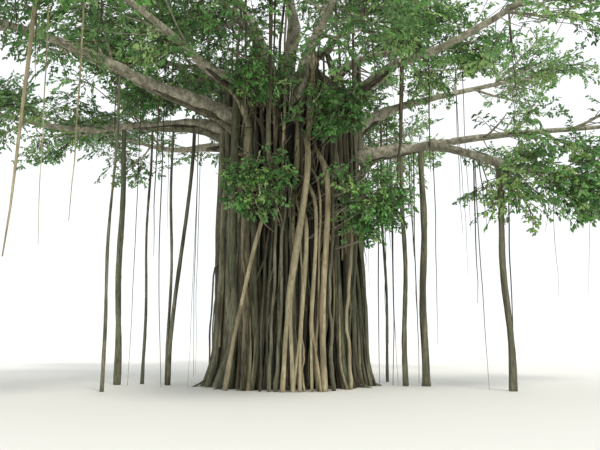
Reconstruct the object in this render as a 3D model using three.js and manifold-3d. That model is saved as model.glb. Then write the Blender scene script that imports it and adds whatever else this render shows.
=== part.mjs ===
// A banyan tree: one broad trunk of roots grown together, boughs that leave it on every side,
// roots that hang from them to the ground or lean on the trunk, and masses of foliage.
// Millimetres, +Z up, the origin on level ground under the middle of the trunk.
// A heading is in degrees from +X towards +Y. The tree is usually seen from -Y.
import * as THREE from "three";
import { mergeVertices } from "three/addons/utils/BufferGeometryUtils.js";
import Module from "manifold-3d";

const wasm = await Module();
wasm.setup();

const UP = new THREE.Vector3(0, 0, 1);
const DOWN = new THREE.Vector3(0, 0, -1);
const LEVEL_FOOT = { endFace: DOWN };
const GOLDEN_ANGLE = Math.PI * (3 - Math.sqrt(5));
const JOINT_GAP = 0.35; // left between two limbs that meet
const TRUNK_GAP = 0.9; // the same on the trunk, measured outwards, as its cords are steep
const LEAF_CLEARANCE = 25; // between foliage and any limb it passes
const CREST_CLEARANCE = 180; // the same on the trunk, beyond the middle of its cords

// Driving sizes of the trunk
const TRUNK = {
  radius: 2330,
  taper: 130,
  shoulder: 9400,
  dome: 1000,
  flare: 280,
  flareHeight: 450,
  cords: 26,
  grooveDepth: 330,
  cordSway: 0.2,
  seed: 11,
};
const RING_HEIGHTS = [0, 300, 900, 2300, 4100, 6000, 7300, 9400, 9950, 10280];
const CORD_STATIONS = [0, 0.2, 0.5, 0.8]; // groove, shoulder, crest, shoulder
const CORD_PROFILE = [-1, -0.3, 0, -0.3];
const HUB_RADIUS = 700;

// The hollow in the front of the trunk that the leaning roots stand before
const HOLLOW = { heading: -84, halfWidth: 34, depth: 620, top: 7100, fade: 1000 };

// The lower boughs, one to each side of the crown
const LOWER_BOUGHS = [
  { name: "right", heading: 352, from: 7300, tip: 7950, reach: 5600, launch: 14, arrive: 6, thick: 290 },
  { name: "right_back", heading: 22, from: 7700, tip: 10200, reach: 5000, launch: 58, arrive: 16, thick: 300 },
  { name: "back_right", heading: 60, from: 8200, tip: 9300, reach: 5200, launch: 30, arrive: 8, thick: 280 },
  { name: "back", heading: 98, from: 7800, tip: 9000, reach: 5400, launch: 22, arrive: 10, thick: 310 },
  { name: "left_back", heading: 138, from: 8200, tip: 8900, reach: 5300, launch: 20, arrive: 4, thick: 270 },
  { name: "left", heading: 178, from: 8550, tip: 8700, reach: 6400, launch: 12, arrive: -8, thick: 270 },
  { name: "left_front", heading: 208, from: 8650, tip: 9850, reach: 6300, launch: 8, arrive: 18, thick: 350 },
  { name: "front_left", heading: 236, from: 8300, tip: 9700, reach: 5200, launch: 36, arrive: 9, thick: 260 },
  { name: "front_right", heading: 280, from: 8400, tip: 9950, reach: 5000, launch: 50, arrive: 9, thick: 250 },
  { name: "right_front", heading: 318, from: 8500, tip: 9800, reach: 5200, launch: 42, arrive: 0, thick: 280 },
];
const LOWER_SPACE = { ahead: 3900, half: [4600, 3200, 2300], branches: 6, spray: 2450 };
// How far the middle of each lower mass of foliage stands above the tip of its bough
const LOWER_ABOVE = {
  right: 100, right_back: 1700, back_right: 1200, back: 1600, left_back: 1500,
  left: 850, left_front: 600, front_left: 800, front_right: 600, right_front: 1200,
};

// The boughs that climb through the middle of the crown, and those that carry its top
const CLIMBING = {
  count: 6, firstHeading: 0, from: 9800, tip: 10950, reach: 2600, launch: 66, arrive: 18, thick: 240,
  space: { ahead: 1500, above: 250, half: [3700, 3000, 2200], branches: 7, spray: 2100 },
};
const TOP = {
  count: 3, firstHeading: 30, from: 9950, tip: 14000, reach: 2000, launch: 84, arrive: 62, thick: 280,
  space: { ahead: 1500, above: 1200, half: [5000, 4300, 3000], branches: 7, spray: 2600 },
};
const BOUGH_STARTS = { lower: 0.7, climbing: 0.52, top: 0.23 }; // of the trunk's radius
const BOUGH_TAPER = 0.42;
const BOUGH_SIDES = 7;
const BOUGH_STEPS = 6;
const UNEVENNESS = 250; // how far the tips of one ring of boughs stand above and below their mean
const WANDER = 170; // how far a bough strays sideways from its plain curve

// A limb that drops from the bough on the right
const DROOPING = {
  parent: "bough_right", at: 0.82, heading: 338, reach: 7900, tip: 6450, launch: -22, arrive: -16, thick: 160,
};
const DROOPING_FORK = 30; // degrees that it leaves its parent's side by
const DROOPING_SPACE = { ahead: -100, above: -500, half: [3100, 2000, 1400], branches: 5, spray: 1700 };

// Leaning roots that stand on the ground before the hollow and join the trunk above it
const LEANING_ROOTS = [
  { name: "root_great", foot: -92, top: -72, height: 8000, thick: 110 },
  { name: "root_slanting", foot: -129, top: -98, height: 6100, thick: 64 },
  { name: "root_front_1", foot: -82, top: -76, height: 5500, thick: 72 },
  { name: "root_front_2", foot: -75, top: -70, height: 6300, thick: 65 },
  { name: "root_front_3", foot: -67.5, top: -62, height: 7500, thick: 98 },
];
const LEANING_FOOT = 2860; // from the trunk's axis
const LEANING_FACE = 2670;
const LEANING_SINK = 1500; // from the axis too: the top end, grown into the trunk
const LEANING_BENDS = [0.3, 0.86]; // of its height, where a leaning root turns

// Roots that hang from a bough to the ground: where along it, and how far the foot strays
const HANGING_ROOTS = [
  { name: "root_left_outer", parent: "bough_left", at: 0.86, foot: [150, -100], thick: 100 },
  { name: "root_left_mid", parent: "bough_left", at: 0.66, foot: [-60, 120], thick: 48 },
  { name: "root_left_inner", parent: "bough_left", at: 0.5, foot: [40, -60], thick: 52 },
  { name: "root_left_near", parent: "bough_left", at: 0.34, foot: [-640, -120], thick: 72 },
  { name: "root_left_front", parent: "bough_left_front", at: 0.9, foot: [-120, 60], thick: 50 },
  { name: "root_right_inner", parent: "bough_right_back", at: 0.66, foot: [60, 40], thick: 50 },
  { name: "root_right_mid", parent: "bough_right", at: 0.56, foot: [-40, 30], thick: 80 },
  { name: "root_right_stout", parent: "bough_right", at: 0.72, foot: [-30, 60], thick: 120 },
  { name: "root_right_outer", parent: "bough_drooping", at: 0.7, foot: [120, -40], thick: 100 },
  { name: "root_back", parent: "bough_back", at: 0.75, foot: [80, 60], thick: 110 },
];
const FOOT_SPREAD = 1.25;
const ROOT_WANDER = 60;
const ROOT_SIDES = 5;
const ROOT_STEPS = 5;
const STEM_SIDES = 4;
const STEM_STEPS = 3;
const TWIG_SIDES = 3;

// Leafy shoots that stand straight out of the trunk
const SHOOTS = [
  { name: "shoot_top", centre: [-500, -3300, 9600], half: [1800, 1150, 1350], branches: 5, spray: 1150 },
  { name: "shoot_centre", centre: [1150, -3050, 8600], half: [1650, 1000, 1300], branches: 5, spray: 1050 },
  { name: "shoot_left", centre: [-750, -3250, 6050], half: [1350, 850, 1250], branches: 5, spray: 1000 },
  { name: "shoot_right", centre: [2250, -2900, 5650], half: [1750, 1100, 1500], branches: 6, spray: 1100 },
];
const SPRAY_WIDTH = 0.66; // of its length
const SPRAY_THICKNESS = 0.05;
const SPRAY_TRIES = [1, 0.78, 0.6]; // sizes tried for a spray, of its full size
const BRANCH_REACH = 0.58; // of the way to the edge of its space
const SHOOT = { thick: 70, start: 1500, drop: 500, launch: 25, past: 0.35 };

// Colours
const BARK = new THREE.MeshStandardMaterial({ color: 0x857862, roughness: 0.9, flatShading: true });
const PALE_BARK = new THREE.MeshStandardMaterial({ color: 0xa8956f, roughness: 0.85, flatShading: true });
const FOLIAGE = new THREE.MeshStandardMaterial({ color: 0x4c7836, roughness: 0.6, flatShading: true });

// Small tools

const radians = (degrees) => (degrees * Math.PI) / 180;
const count = (n) => Array.from({ length: n }, (_, i) => i);
const mix = (a, b, t) => a + (b - a) * t;
const bounded = (x, low, high) => Math.min(Math.max(x, low), high);

function polar(degrees, distance, height) {
  const angle = radians(degrees);
  return new THREE.Vector3(Math.cos(angle) * distance, Math.sin(angle) * distance, height);
}

function direction(degrees, elevation) {
  return polar(degrees, Math.cos(radians(elevation)), Math.sin(radians(elevation)));
}

// The same row of numbers between 0 and 1 each time, from a seed
function seededDraws(seed) {
  let state = (seed * 2654435761) >>> 0;
  return () => {
    state = (Math.imul(state, 1664525) + 1013904223) >>> 0;
    return state / 4294967296;
  };
}

// A manifold-3d solid from a closed three.js geometry
function solidOf(geometry) {
  geometry.deleteAttribute("normal");
  geometry.deleteAttribute("uv");
  const { attributes, index } = mergeVertices(geometry);
  return new wasm.Manifold(new wasm.Mesh({
    numProp: 3,
    vertProperties: new Float32Array(attributes.position.array),
    triVerts: new Uint32Array(index.array),
  }));
}

// A closed geometry from rings of points, each counter-clockwise when seen from the last ring's side.
// A cap lists triangles of the numbers of a ring's points, and numbers past them are extra points.
function stackedGeometry(rings, startCap, endCap, extraPoints = []) {
  const n = rings[0].length;
  const last = (rings.length - 1) * n;
  const triangles = startCap.map(([a, b, c]) => [a, c, b].map((i) => (i < n ? i : i + last)));
  triangles.push(...endCap.map((corners) => corners.map((i) => i + last)));
  for (const ring of count(rings.length - 1)) {
    for (const s of count(n)) {
      const [a, b] = [ring * n + s, ring * n + ((s + 1) % n)];
      triangles.push([a, b, b + n], [a, b + n, a + n]);
    }
  }
  const geometry = new THREE.BufferGeometry().setFromPoints([...rings.flat(), ...extraPoints]);
  return geometry.setIndex(triangles.flat());
}

const fanCap = (n) => count(n - 2).map((i) => [0, i + 1, i + 2]);

// A tapered limb along points. Its end faces can be turned to face given directions.
function limbSolid(points, radii, sides, { startFace, endFace } = {}) {
  const last = points.length - 1;
  const overall = points[last].clone().sub(points[0]).normalize();
  const reference = Math.abs(overall.z) > 0.8 ? new THREE.Vector3(1, 0, 0) : UP;
  const rings = points.map((point, i) => {
    const along = points[Math.min(i + 1, last)].clone().sub(points[Math.max(i - 1, 0)]).normalize();
    if (startFace && i === 0) along.copy(startFace);
    if (endFace && i === last) along.copy(endFace);
    const side = along.clone().cross(reference).normalize();
    const over = side.clone().cross(along);
    return count(sides).map((s) => {
      const turn = (2 * Math.PI * s) / sides;
      return point.clone().addScaledVector(over, Math.cos(turn) * radii[i])
        .addScaledVector(side, Math.sin(turn) * radii[i]);
    });
  });
  return solidOf(stackedGeometry(rings, fanCap(sides), fanCap(sides)));
}

// The points of a limb: a cubic curve between two ends, with a gentle sideways stray
function limbPoints(start, end, launch, arrive, steps, stray, phase) {
  const handle = start.distanceTo(end) / 3;
  const curve = new THREE.CubicBezierCurve3(
    start, start.clone().addScaledVector(launch, handle), end.clone().addScaledVector(arrive, -handle), end);
  const span = end.clone().sub(start);
  const across = Math.hypot(span.x, span.y) > 500 ? span.cross(UP).normalize() : new THREE.Vector3(1, 0, 0);
  return count(steps + 1).map((i) => {
    const t = i / steps;
    const offset = stray * Math.sin(Math.PI * t) * Math.sin(2.4 * Math.PI * t + phase);
    return curve.getPoint(t).addScaledVector(across, offset);
  });
}

function largestPiece(solid) {
  return solid.decompose().reduce((a, b) => (b.volume() > a.volume() ? b : a));
}

// A limb with its solid cut clear of what it grows from
function makeLimb({ name, points, radii, sides = BOUGH_SIDES, faces, cutter: parentCutter }) {
  const whole = limbSolid(points, radii, sides, faces);
  const solid = largestPiece(whole.subtract(parentCutter));
  const swollen = radii.map((r) => r + JOINT_GAP);
  return { name, points, radii, solid, cutter: limbSolid(points, swollen, sides, faces) };
}

// The trunk

const cordDraws = seededDraws(TRUNK.seed);
const CORDS = count(TRUNK.cords).map((k) => ({
  edge: k + (cordDraws() - 0.5) * 0.42,
  depth: TRUNK.grooveDepth * mix(0.55, 1.2, cordDraws()),
  bulge: mix(-90, 90, cordDraws()),
  flare: mix(0.35, 1.5, cordDraws() ** 2),
  phase: 2 * Math.PI * cordDraws(),
}));

function cordEdge(k, height) {
  const cord = CORDS[k % TRUNK.cords];
  const turns = k >= TRUNK.cords ? TRUNK.cords : 0;
  const sway = TRUNK.cordSway * Math.sin(height / 2100 + cord.phase);
  return (2 * Math.PI * (cord.edge + turns + sway)) / TRUNK.cords;
}

function hollowDepth(angle, height) {
  const turn = angle - radians(HOLLOW.heading);
  const across = Math.abs(Math.atan2(Math.sin(turn), Math.cos(turn))) / radians(HOLLOW.halfWidth);
  if (across >= 1) return 0;
  const shape = Math.cos((across * Math.PI) / 2) ** 0.6;
  return HOLLOW.depth * shape * bounded((HOLLOW.top - height) / HOLLOW.fade, 0, 1);
}

// The trunk's radius in the middle of its cords
function trunkBody(angle, height) {
  const plan = 1 + 0.035 * Math.cos(2 * angle) + 0.03 * Math.sin(3 * angle + 0.7);
  const column = TRUNK.radius + TRUNK.taper * (1 - height / TRUNK.shoulder);
  const rise = bounded((height - TRUNK.shoulder) / TRUNK.dome, 0, 1);
  return plan * column * Math.sqrt(1 - rise * rise) - hollowDepth(angle, height);
}

function trunkRing(height, swell) {
  return CORDS.flatMap((cord, k) => CORD_STATIONS.map((station, i) => {
    const angle = mix(cordEdge(k, height), cordEdge(k + 1, height), station);
    const body = trunkBody(angle, height);
    const flare = TRUNK.flare * cord.flare * Math.exp(-height / TRUNK.flareHeight);
    const relief = cord.depth * CORD_PROFILE[i] + cord.bulge * Math.sin(Math.PI * station);
    const r = body + (relief * body) / TRUNK.radius + flare * (1 + 0.5 * CORD_PROFILE[i]) + swell;
    const lift = height > TRUNK.shoulder ? swell * 0.4 : 0;
    return new THREE.Vector3(r * Math.cos(angle), r * Math.sin(angle), height + lift);
  }));
}

// A flat end for a ring of n points: its middle triangle, of extra points, lies round the axis
function hubbedCap(n) {
  const sector = (i) => Math.floor(((i % n) * 3) / n);
  const fans = count(n).map((i) => [i, (i + 1) % n, n + sector(i)]);
  const seams = count(n).filter((i) => sector(i) !== sector(i + 1));
  return [
    [n, n + 1, n + 2], ...fans,
    ...seams.map((i) => [(i + 1) % n, n + sector(i + 1), n + sector(i)]),
  ];
}

function trunkSolid(swell) {
  const rings = RING_HEIGHTS.map((height) => trunkRing(height, swell));
  const n = rings[0].length;
  const hub = count(3).map((k) => polar(60 + 120 * k, HUB_RADIUS, 0));
  const crest = new THREE.Vector3(0, 0, TRUNK.shoulder + TRUNK.dome + swell * 0.4);
  const dome = count(n).map((i) => [i, (i + 1) % n, n + 3]);
  return solidOf(stackedGeometry(rings, hubbedCap(n), dome, [...hub, crest]));
}

const trunk = { name: "trunk", solid: trunkSolid(0), cutter: trunkSolid(TRUNK_GAP) };

// The boughs

function boughFrom(row, seed) {
  const draws = seededDraws(seed);
  const start = polar(row.heading, row.start, row.from);
  const end = polar(row.heading + mix(-4, 4, draws()), row.reach, row.tip);
  const [launch, arrive] = [direction(row.heading, row.launch), direction(row.heading, row.arrive)];
  const points = limbPoints(start, end, launch, arrive, BOUGH_STEPS, WANDER, 2 * Math.PI * draws());
  const radii = points.map((_, i) => row.thick * mix(1, BOUGH_TAPER, (i / BOUGH_STEPS) ** 0.8));
  return { ...makeLimb({ name: `bough_${row.name}`, points, radii, cutter: trunk.cutter }), row };
}

function ringOfBoughs(name, ring, start) {
  return count(ring.count).map((i) => ({
    ...ring, name: `${name}_${i + 1}`, heading: ring.firstHeading + (360 / ring.count) * i, start,
    tip: ring.tip + (i % 2 ? -UNEVENNESS : UNEVENNESS),
  }));
}

const boughRows = [
  ...LOWER_BOUGHS.map((row) => ({
    ...row, start: TRUNK.radius * BOUGH_STARTS.lower, space: { ...LOWER_SPACE, above: LOWER_ABOVE[row.name] },
  })),
  ...ringOfBoughs("climbing", CLIMBING, TRUNK.radius * BOUGH_STARTS.climbing),
  ...ringOfBoughs("top", TOP, TRUNK.radius * BOUGH_STARTS.top),
];
const boughs = boughRows.map((row, i) => boughFrom(row, 100 + i));

function pointAlong(points, t) {
  const place = t * (points.length - 1);
  const i = Math.min(Math.floor(place), points.length - 2);
  return points[i].clone().lerp(points[i + 1], place - i);
}

function droopingLimb() {
  const parent = boughs.find((b) => b.name === DROOPING.parent);
  const start = pointAlong(parent.points, DROOPING.at);
  const end = polar(DROOPING.heading, DROOPING.reach, DROOPING.tip);
  const launch = direction(DROOPING.heading - DROOPING_FORK, DROOPING.launch);
  const arrive = direction(DROOPING.heading, DROOPING.arrive);
  const points = limbPoints(start, end, launch, arrive, BOUGH_STEPS, ROOT_WANDER, 1);
  const radii = points.map((_, i) => DROOPING.thick * mix(1, 0.5, i / BOUGH_STEPS));
  const limb = makeLimb({ name: "bough_drooping", points, radii, cutter: parent.cutter });
  return { ...limb, row: { heading: DROOPING.heading, space: DROOPING_SPACE } };
}

boughs.push(droopingLimb());

// The free roots

// A root's width down its length, for a thickness of 1: a little wider low down, and spread at its foot
const rootWidth = (t) => 0.82 + 0.18 * t + (FOOT_SPREAD - 1) * t ** 8;

function makeRoot(name, points, radii, cutter) {
  return makeLimb({ name, points, radii, sides: ROOT_SIDES, faces: LEVEL_FOOT, cutter });
}

function leaningRoot(row) {
  const foot = polar(row.foot, LEANING_FOOT, 0);
  const top = polar(row.top, LEANING_SINK, row.height + 350);
  const [knee, elbow] = LEANING_BENDS.map((t) =>
    polar(mix(row.foot, row.top, t ** 1.5), LEANING_FACE, row.height * t));
  const curve = new THREE.CatmullRomCurve3([top, elbow, knee, foot], false, "centripetal");
  const points = curve.getPoints(ROOT_STEPS + 1);
  const radii = points.map((_, k) => row.thick * rootWidth(k / (points.length - 1)));
  return makeRoot(row.name, points, radii, trunk.cutter);
}

function hangingRoot(row, i) {
  const parent = boughs.find((b) => b.name === row.parent);
  const top = pointAlong(parent.points, row.at);
  const foot = new THREE.Vector3(top.x + row.foot[0], top.y + row.foot[1], 0);
  const points = limbPoints(top, foot, DOWN, DOWN, ROOT_STEPS, ROOT_WANDER, 1.7 * i);
  const radii = points.map((_, k) => row.thick * rootWidth(k / ROOT_STEPS));
  return makeRoot(row.name, points, radii, parent.cutter);
}

const leaningRoots = LEANING_ROOTS.map(leaningRoot);
const hangingRoots = HANGING_ROOTS.map(hangingRoot);
const limbs = [...boughs, ...leaningRoots, ...hangingRoots];

// The spaces that the masses of foliage keep to: each is an egg with one long axis along its heading

function spaceAt(name, heading, centre, half, seed, growth) {
  return { name, centre, half, seed, growth, axes: [direction(heading, 0), direction(heading + 90, 0), UP] };
}

function inSpace(space, point) {
  const offset = point.clone().sub(space.centre);
  return new THREE.Vector3(...space.axes.map((axis, i) => offset.dot(axis) / space.half[i]));
}

// How far a ray from a point inside runs before it leaves the space
function roomAhead(space, point, along) {
  const p = inSpace(space, point);
  const d = inSpace(space, point.clone().add(along)).sub(p);
  const [a, b, c] = [d.dot(d), 2 * p.dot(d), p.dot(p) - 1];
  const root = b * b - 4 * a * c;
  return root > 0 ? (-b + Math.sqrt(root)) / (2 * a) : 0;
}

function boughSpace(bough, seed) {
  const { heading, space } = bough.row;
  const tip = bough.points.at(-1);
  const bearing = (Math.atan2(tip.y, tip.x) * 180) / Math.PI;
  const centre = tip.clone().add(polar(bearing, space.ahead, space.above));
  const name = bough.name.replace("bough", "foliage");
  return spaceAt(name, heading, centre, space.half, seed, space);
}

const boughSpaces = boughs.map((bough, i) => boughSpace(bough, 300 + i));
const shootSpaces = SHOOTS.map((row, i) =>
  spaceAt(row.name, 0, new THREE.Vector3(...row.centre), row.half, 400 + i, row));
const spaces = [...boughSpaces, ...shootSpaces];

function ownsPoint(space, point) {
  const own = inSpace(space, point).length();
  return own <= 1 && spaces.every((other) => other === space || inSpace(other, point).length() > own + 0.05);
}

// The nearest distance between two straight stretches
function stretchDistance(a, b, c, d) {
  const [u, v, w] = [b.clone().sub(a), d.clone().sub(c), a.clone().sub(c)];
  const [uu, uv, vv, uw, vw] = [u.dot(u), u.dot(v), v.dot(v), u.dot(w), v.dot(w)];
  const spread = uu * vv - uv * uv;
  let s = spread > 1e-6 * uu * vv ? bounded((uv * vw - vv * uw) / spread, 0, 1) : 0;
  const t = bounded((uv * s + vw) / vv, 0, 1);
  s = bounded((uv * t - uw) / uu, 0, 1);
  return w.addScaledVector(u, s).addScaledVector(v, -t).length();
}

function clearOfLimbs(a, b, thick) {
  const nearTrunk = (p) => p.z < TRUNK.shoulder + TRUNK.dome + thick
    && Math.hypot(p.x, p.y) < trunkBody(Math.atan2(p.y, p.x), Math.max(p.z, 0)) + CREST_CLEARANCE + thick;
  if (count(4).some((i) => nearTrunk(a.clone().lerp(b, (i + 1) / 4)))) return false;
  return limbs.every((limb) => count(limb.points.length - 1).every((i) =>
    stretchDistance(a, b, limb.points[i], limb.points[i + 1]) > thick + limb.radii[i] + LEAF_CLEARANCE));
}

// The foliage

// A spray of leaves: a thin blade of eight faces, from its root along one axis
function spraySolid(root, along, across, length) {
  const blade = new THREE.OctahedronGeometry(length / 2);
  blade.scale(1, SPRAY_WIDTH, SPRAY_THICKNESS).translate(length / 2, 0, 0);
  const frame = new THREE.Matrix4().makeBasis(along, across, along.clone().cross(across)).setPosition(root);
  return solidOf(blade.applyMatrix4(frame));
}

// Turns a direction sideways and upwards by angles in radians
function bent(along, sideways, upwards) {
  const side = along.clone().cross(UP).normalize();
  const over = side.clone().cross(along);
  return along.clone().multiplyScalar(Math.cos(sideways))
    .addScaledVector(side, Math.sin(sideways)).addScaledVector(over, Math.sin(upwards)).normalize();
}

// The direction of a branch that leans off a stem at a turn round it, drawn out to suit its space
function offStem(space, ahead, lean, turn) {
  const side = ahead.clone().cross(UP).normalize();
  const over = side.clone().cross(ahead);
  return ahead.clone().multiplyScalar(Math.cos(lean) * space.half[0])
    .addScaledVector(side, Math.sin(lean) * Math.cos(turn) * space.half[1])
    .addScaledVector(over, Math.sin(lean) * Math.sin(turn) * space.half[2]).normalize();
}

// Grows one mass: a stem, branches at golden angles round it, and on each branch sprays to either side
// and at the tip. A spray that would leave the space or touch a limb is tried smaller, and then skipped.
function growMass(space, stem, stemRadii, startFace) {
  const draws = seededDraws(space.seed);
  const { branches, spray } = space.growth;
  const pieces = [limbSolid(stem, stemRadii, STEM_SIDES, { startFace })];
  const thick = Math.max(stemRadii.at(-1) * 0.7, 26);

  function placedSpray(root, along, across, length) {
    const tip = root.clone().addScaledVector(along, length);
    const edges = [-1, 1].map((hand) => root.clone().lerp(tip, 0.5)
      .addScaledVector(across, (hand * SPRAY_WIDTH * length) / 2));
    if (![tip, ...edges].every((p) => ownsPoint(space, p))) return null;
    const outline = [root.clone().lerp(tip, 0.1), edges[0], tip, edges[1]];
    const sides = outline.map((p, i) => [p, outline[(i + 1) % 4]]);
    const clear = [...sides, edges].every(([a, b]) => clearOfLimbs(a, b, length * 0.06));
    return clear ? spraySolid(root, along, across, length) : null;
  }

  function addSpray(root, along) {
    const hanging = bent(along, mix(-0.25, 0.25, draws()), mix(-0.4, 0.15, draws()));
    const level = hanging.clone().cross(UP).normalize();
    const across = level.applyAxisAngle(hanging, mix(-1, 1, draws()));
    const length = spray * mix(0.85, 1.1, draws());
    for (const size of SPRAY_TRIES) {
      const made = placedSpray(root, hanging, across, length * size);
      if (made) {
        pieces.push(made);
        return;
      }
    }
  }

  for (const k of count(branches)) {
    const t = k / (branches - 1);
    const foot = pointAlong(stem, mix(0.14, 0.96, t));
    const ahead = stem.at(-1).clone().sub(stem[0]).normalize();
    const turn = k * GOLDEN_ANGLE + mix(-0.4, 0.4, draws());
    const along = offStem(space, ahead, mix(1.3, 0.5, t), turn);
    const length = roomAhead(space, foot, along) * BRANCH_REACH;
    const tip = foot.clone().addScaledVector(along, length);
    if (!ownsPoint(space, tip) || !clearOfLimbs(foot, tip, thick)) continue;
    pieces.push(limbSolid([foot, tip], [thick, thick * 0.6], TWIG_SIDES));
    addSpray(tip.clone().addScaledVector(along, -thick), along);
    addSpray(foot.clone().lerp(tip, mix(0.35, 0.5, draws())), bent(along, mix(0.7, 1.2, draws()), 0.3));
    addSpray(foot.clone().lerp(tip, mix(0.65, 0.85, draws())), bent(along, -mix(0.7, 1.2, draws()), 0));
  }
  return wasm.Manifold.union(pieces);
}

function massOnBough(space, bough) {
  const tip = bough.points.at(-1);
  const ahead = tip.clone().sub(bough.points.at(-2)).normalize();
  const start = tip.clone().addScaledVector(ahead, JOINT_GAP);
  const end = space.centre.clone().addScaledVector(space.axes[0], space.half[0] * 0.42)
    .addScaledVector(UP, space.half[2] * 0.1);
  const points = limbPoints(start, end, ahead, end.clone().sub(start).normalize(), STEM_STEPS, 0, 0);
  const thick = bough.radii.at(-1) * 0.96;
  const solid = growMass(space, points, points.map((_, i) => thick * mix(1, 0.4, i / STEM_STEPS)), ahead);
  return { name: space.name, solid: largestPiece(solid) };
}

function shootOnTrunk(space) {
  const bearing = (Math.atan2(space.centre.y, space.centre.x) * 180) / Math.PI;
  const start = polar(bearing, SHOOT.start, Math.min(space.centre.z - SHOOT.drop, TRUNK.shoulder));
  const end = space.centre.clone();
  end.x *= 1 + (SHOOT.past * space.half[0]) / Math.abs(space.centre.x);
  const arrive = end.clone().sub(start).normalize();
  const points = limbPoints(start, end, direction(bearing, SHOOT.launch), arrive, STEM_STEPS, 0, 0);
  const solid = growMass(space, points, points.map((_, i) => SHOOT.thick * mix(1, 0.5, i / STEM_STEPS)));
  return { name: space.name, solid: largestPiece(solid.subtract(trunk.cutter)) };
}

const masses = [
  ...boughSpaces.map((space, i) => massOnBough(space, boughs[i])),
  ...shootSpaces.map(shootOnTrunk),
];

// The tree

function meshOf({ name, solid }, material) {
  const { vertProperties, triVerts } = solid.getMesh();
  const geometry = new THREE.BufferGeometry();
  geometry.setAttribute("position", new THREE.BufferAttribute(vertProperties, 3));
  geometry.setIndex(new THREE.BufferAttribute(triVerts, 1));
  geometry.computeVertexNormals();
  const mesh = new THREE.Mesh(geometry, material);
  mesh.name = name;
  return mesh;
}

function groupOf(parts, material) {
  const group = new THREE.Group();
  group.add(...parts.map((part) => meshOf(part, material)));
  return group;
}

const tree = new THREE.Group();
tree.add(
  groupOf([trunk, ...boughs], BARK),
  groupOf([...leaningRoots, ...hangingRoots], PALE_BARK),
  groupOf(masses, FOLIAGE),
);

export default tree;
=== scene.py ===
# A banyan tree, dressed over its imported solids, in metres. The trunk is made of its single roots,
# the boughs and free roots have their bark, and each mass of foliage is its twigs and leaves.
from math import atan2, cos, degrees, hypot, pi, radians, sin, sqrt
from types import SimpleNamespace

import bpy
import numpy as np
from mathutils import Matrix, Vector, noise
from mathutils.bvhtree import BVHTree
from numpy.linalg import norm


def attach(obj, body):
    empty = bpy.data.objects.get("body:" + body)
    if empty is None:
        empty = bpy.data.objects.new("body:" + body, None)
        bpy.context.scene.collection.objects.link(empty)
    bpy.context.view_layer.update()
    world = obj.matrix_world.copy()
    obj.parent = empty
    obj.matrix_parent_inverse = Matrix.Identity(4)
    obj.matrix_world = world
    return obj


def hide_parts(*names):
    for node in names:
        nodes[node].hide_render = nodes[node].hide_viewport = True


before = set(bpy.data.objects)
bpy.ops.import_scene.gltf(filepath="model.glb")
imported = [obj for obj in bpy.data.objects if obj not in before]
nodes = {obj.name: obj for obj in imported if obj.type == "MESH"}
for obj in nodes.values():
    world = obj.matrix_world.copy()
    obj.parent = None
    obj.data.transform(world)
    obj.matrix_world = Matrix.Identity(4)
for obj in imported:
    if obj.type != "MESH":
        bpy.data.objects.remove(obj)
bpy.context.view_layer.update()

# Viewpoint
# The tree is seen from standing eye height over level ground, from about five trunk widths away,
# looking a little upwards so that the trunk's foot and the lower boughs are both in view.
EYE = (0.4, -22.5, 1.6)
LOOK_UP = radians(9.26)
LENS = 40.5
FARTHEST_SEEN = 400
bpy.ops.object.select_all(action="DESELECT")
bpy.ops.object.camera_add(location=EYE, rotation=(pi / 2 + LOOK_UP, 0, 0))
camera = bpy.context.object
camera.name = "camera"
camera.data.lens = LENS
camera.data.clip_end = FARTHEST_SEEN
bpy.context.scene.camera = camera

# Floor and light
# A plain pale floor runs out to the horizon, under an even white sky that lights the tree from all
# round, with one broad soft lamp high in front, a little to the right, for some shape.
FLOOR_SIZE = 300
FLOOR_HEIGHT = -0.002
SKY_STRENGTH = 1.12
SUN_STRENGTH = 1.7
SUN_TURN = (radians(42), 0, radians(28))
SUN_SOFTNESS = radians(14)
bpy.ops.mesh.primitive_plane_add(size=FLOOR_SIZE, location=(0, 0, FLOOR_HEIGHT))
floor = bpy.context.object
floor.name = "floor"


# an input is given either a value or the output of another node
def fill_inputs(node, inputs):
    for name, value in inputs.items():
        if isinstance(value, bpy.types.NodeSocket):
            node.id_data.links.new(value, node.inputs[name])
        else:
            node.inputs[name].default_value = value


def new_finish(name):
    finish = bpy.data.materials.new(name)
    finish.use_nodes = True
    return finish, finish.node_tree, finish.node_tree.nodes["Principled BSDF"]


floor_paint, _, shader = new_finish("pale floor")
fill_inputs(shader, {"Base Color": (0.76, 0.74, 0.7, 1), "Roughness": 0.9})
floor.data.materials.append(floor_paint)

sky = bpy.data.worlds.new("white sky")
sky.use_nodes = True
fill_inputs(
    sky.node_tree.nodes["Background"], {"Color": (0.95, 0.98, 1.0, 1), "Strength": SKY_STRENGTH})
bpy.context.scene.world = sky
bpy.context.scene.view_settings.view_transform = "Standard"

bpy.ops.object.light_add(type="SUN", rotation=SUN_TURN)
sun = bpy.context.object
sun.name = "soft_sun"
sun.data.energy = SUN_STRENGTH
sun.data.angle = SUN_SOFTNESS
sun.data.color = (1.0, 0.96, 0.88)

# Courses of the limbs
# Each limb follows a smooth curve from inside the trunk, or from a bough, out to its tip. The sizes
# and the rule are those of the solids, so the dressed limbs lie where the solids are.
TRUNK_RADIUS = 2.33
SHOULDER = 9.4
DOME_TOP = 10.4
BOUGH_TAPER = 0.42
TAPER_CURVE = 0.8
FIRST_BOUGH_SEED = 100
STRAY_HEADING = 4
BOUGH_STEPS = 6
ROOT_STEPS = 5
FINE_STEPS = 44
WANDER = 0.17
ROOT_WANDER = 0.06
BENDS = 2.4
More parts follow.
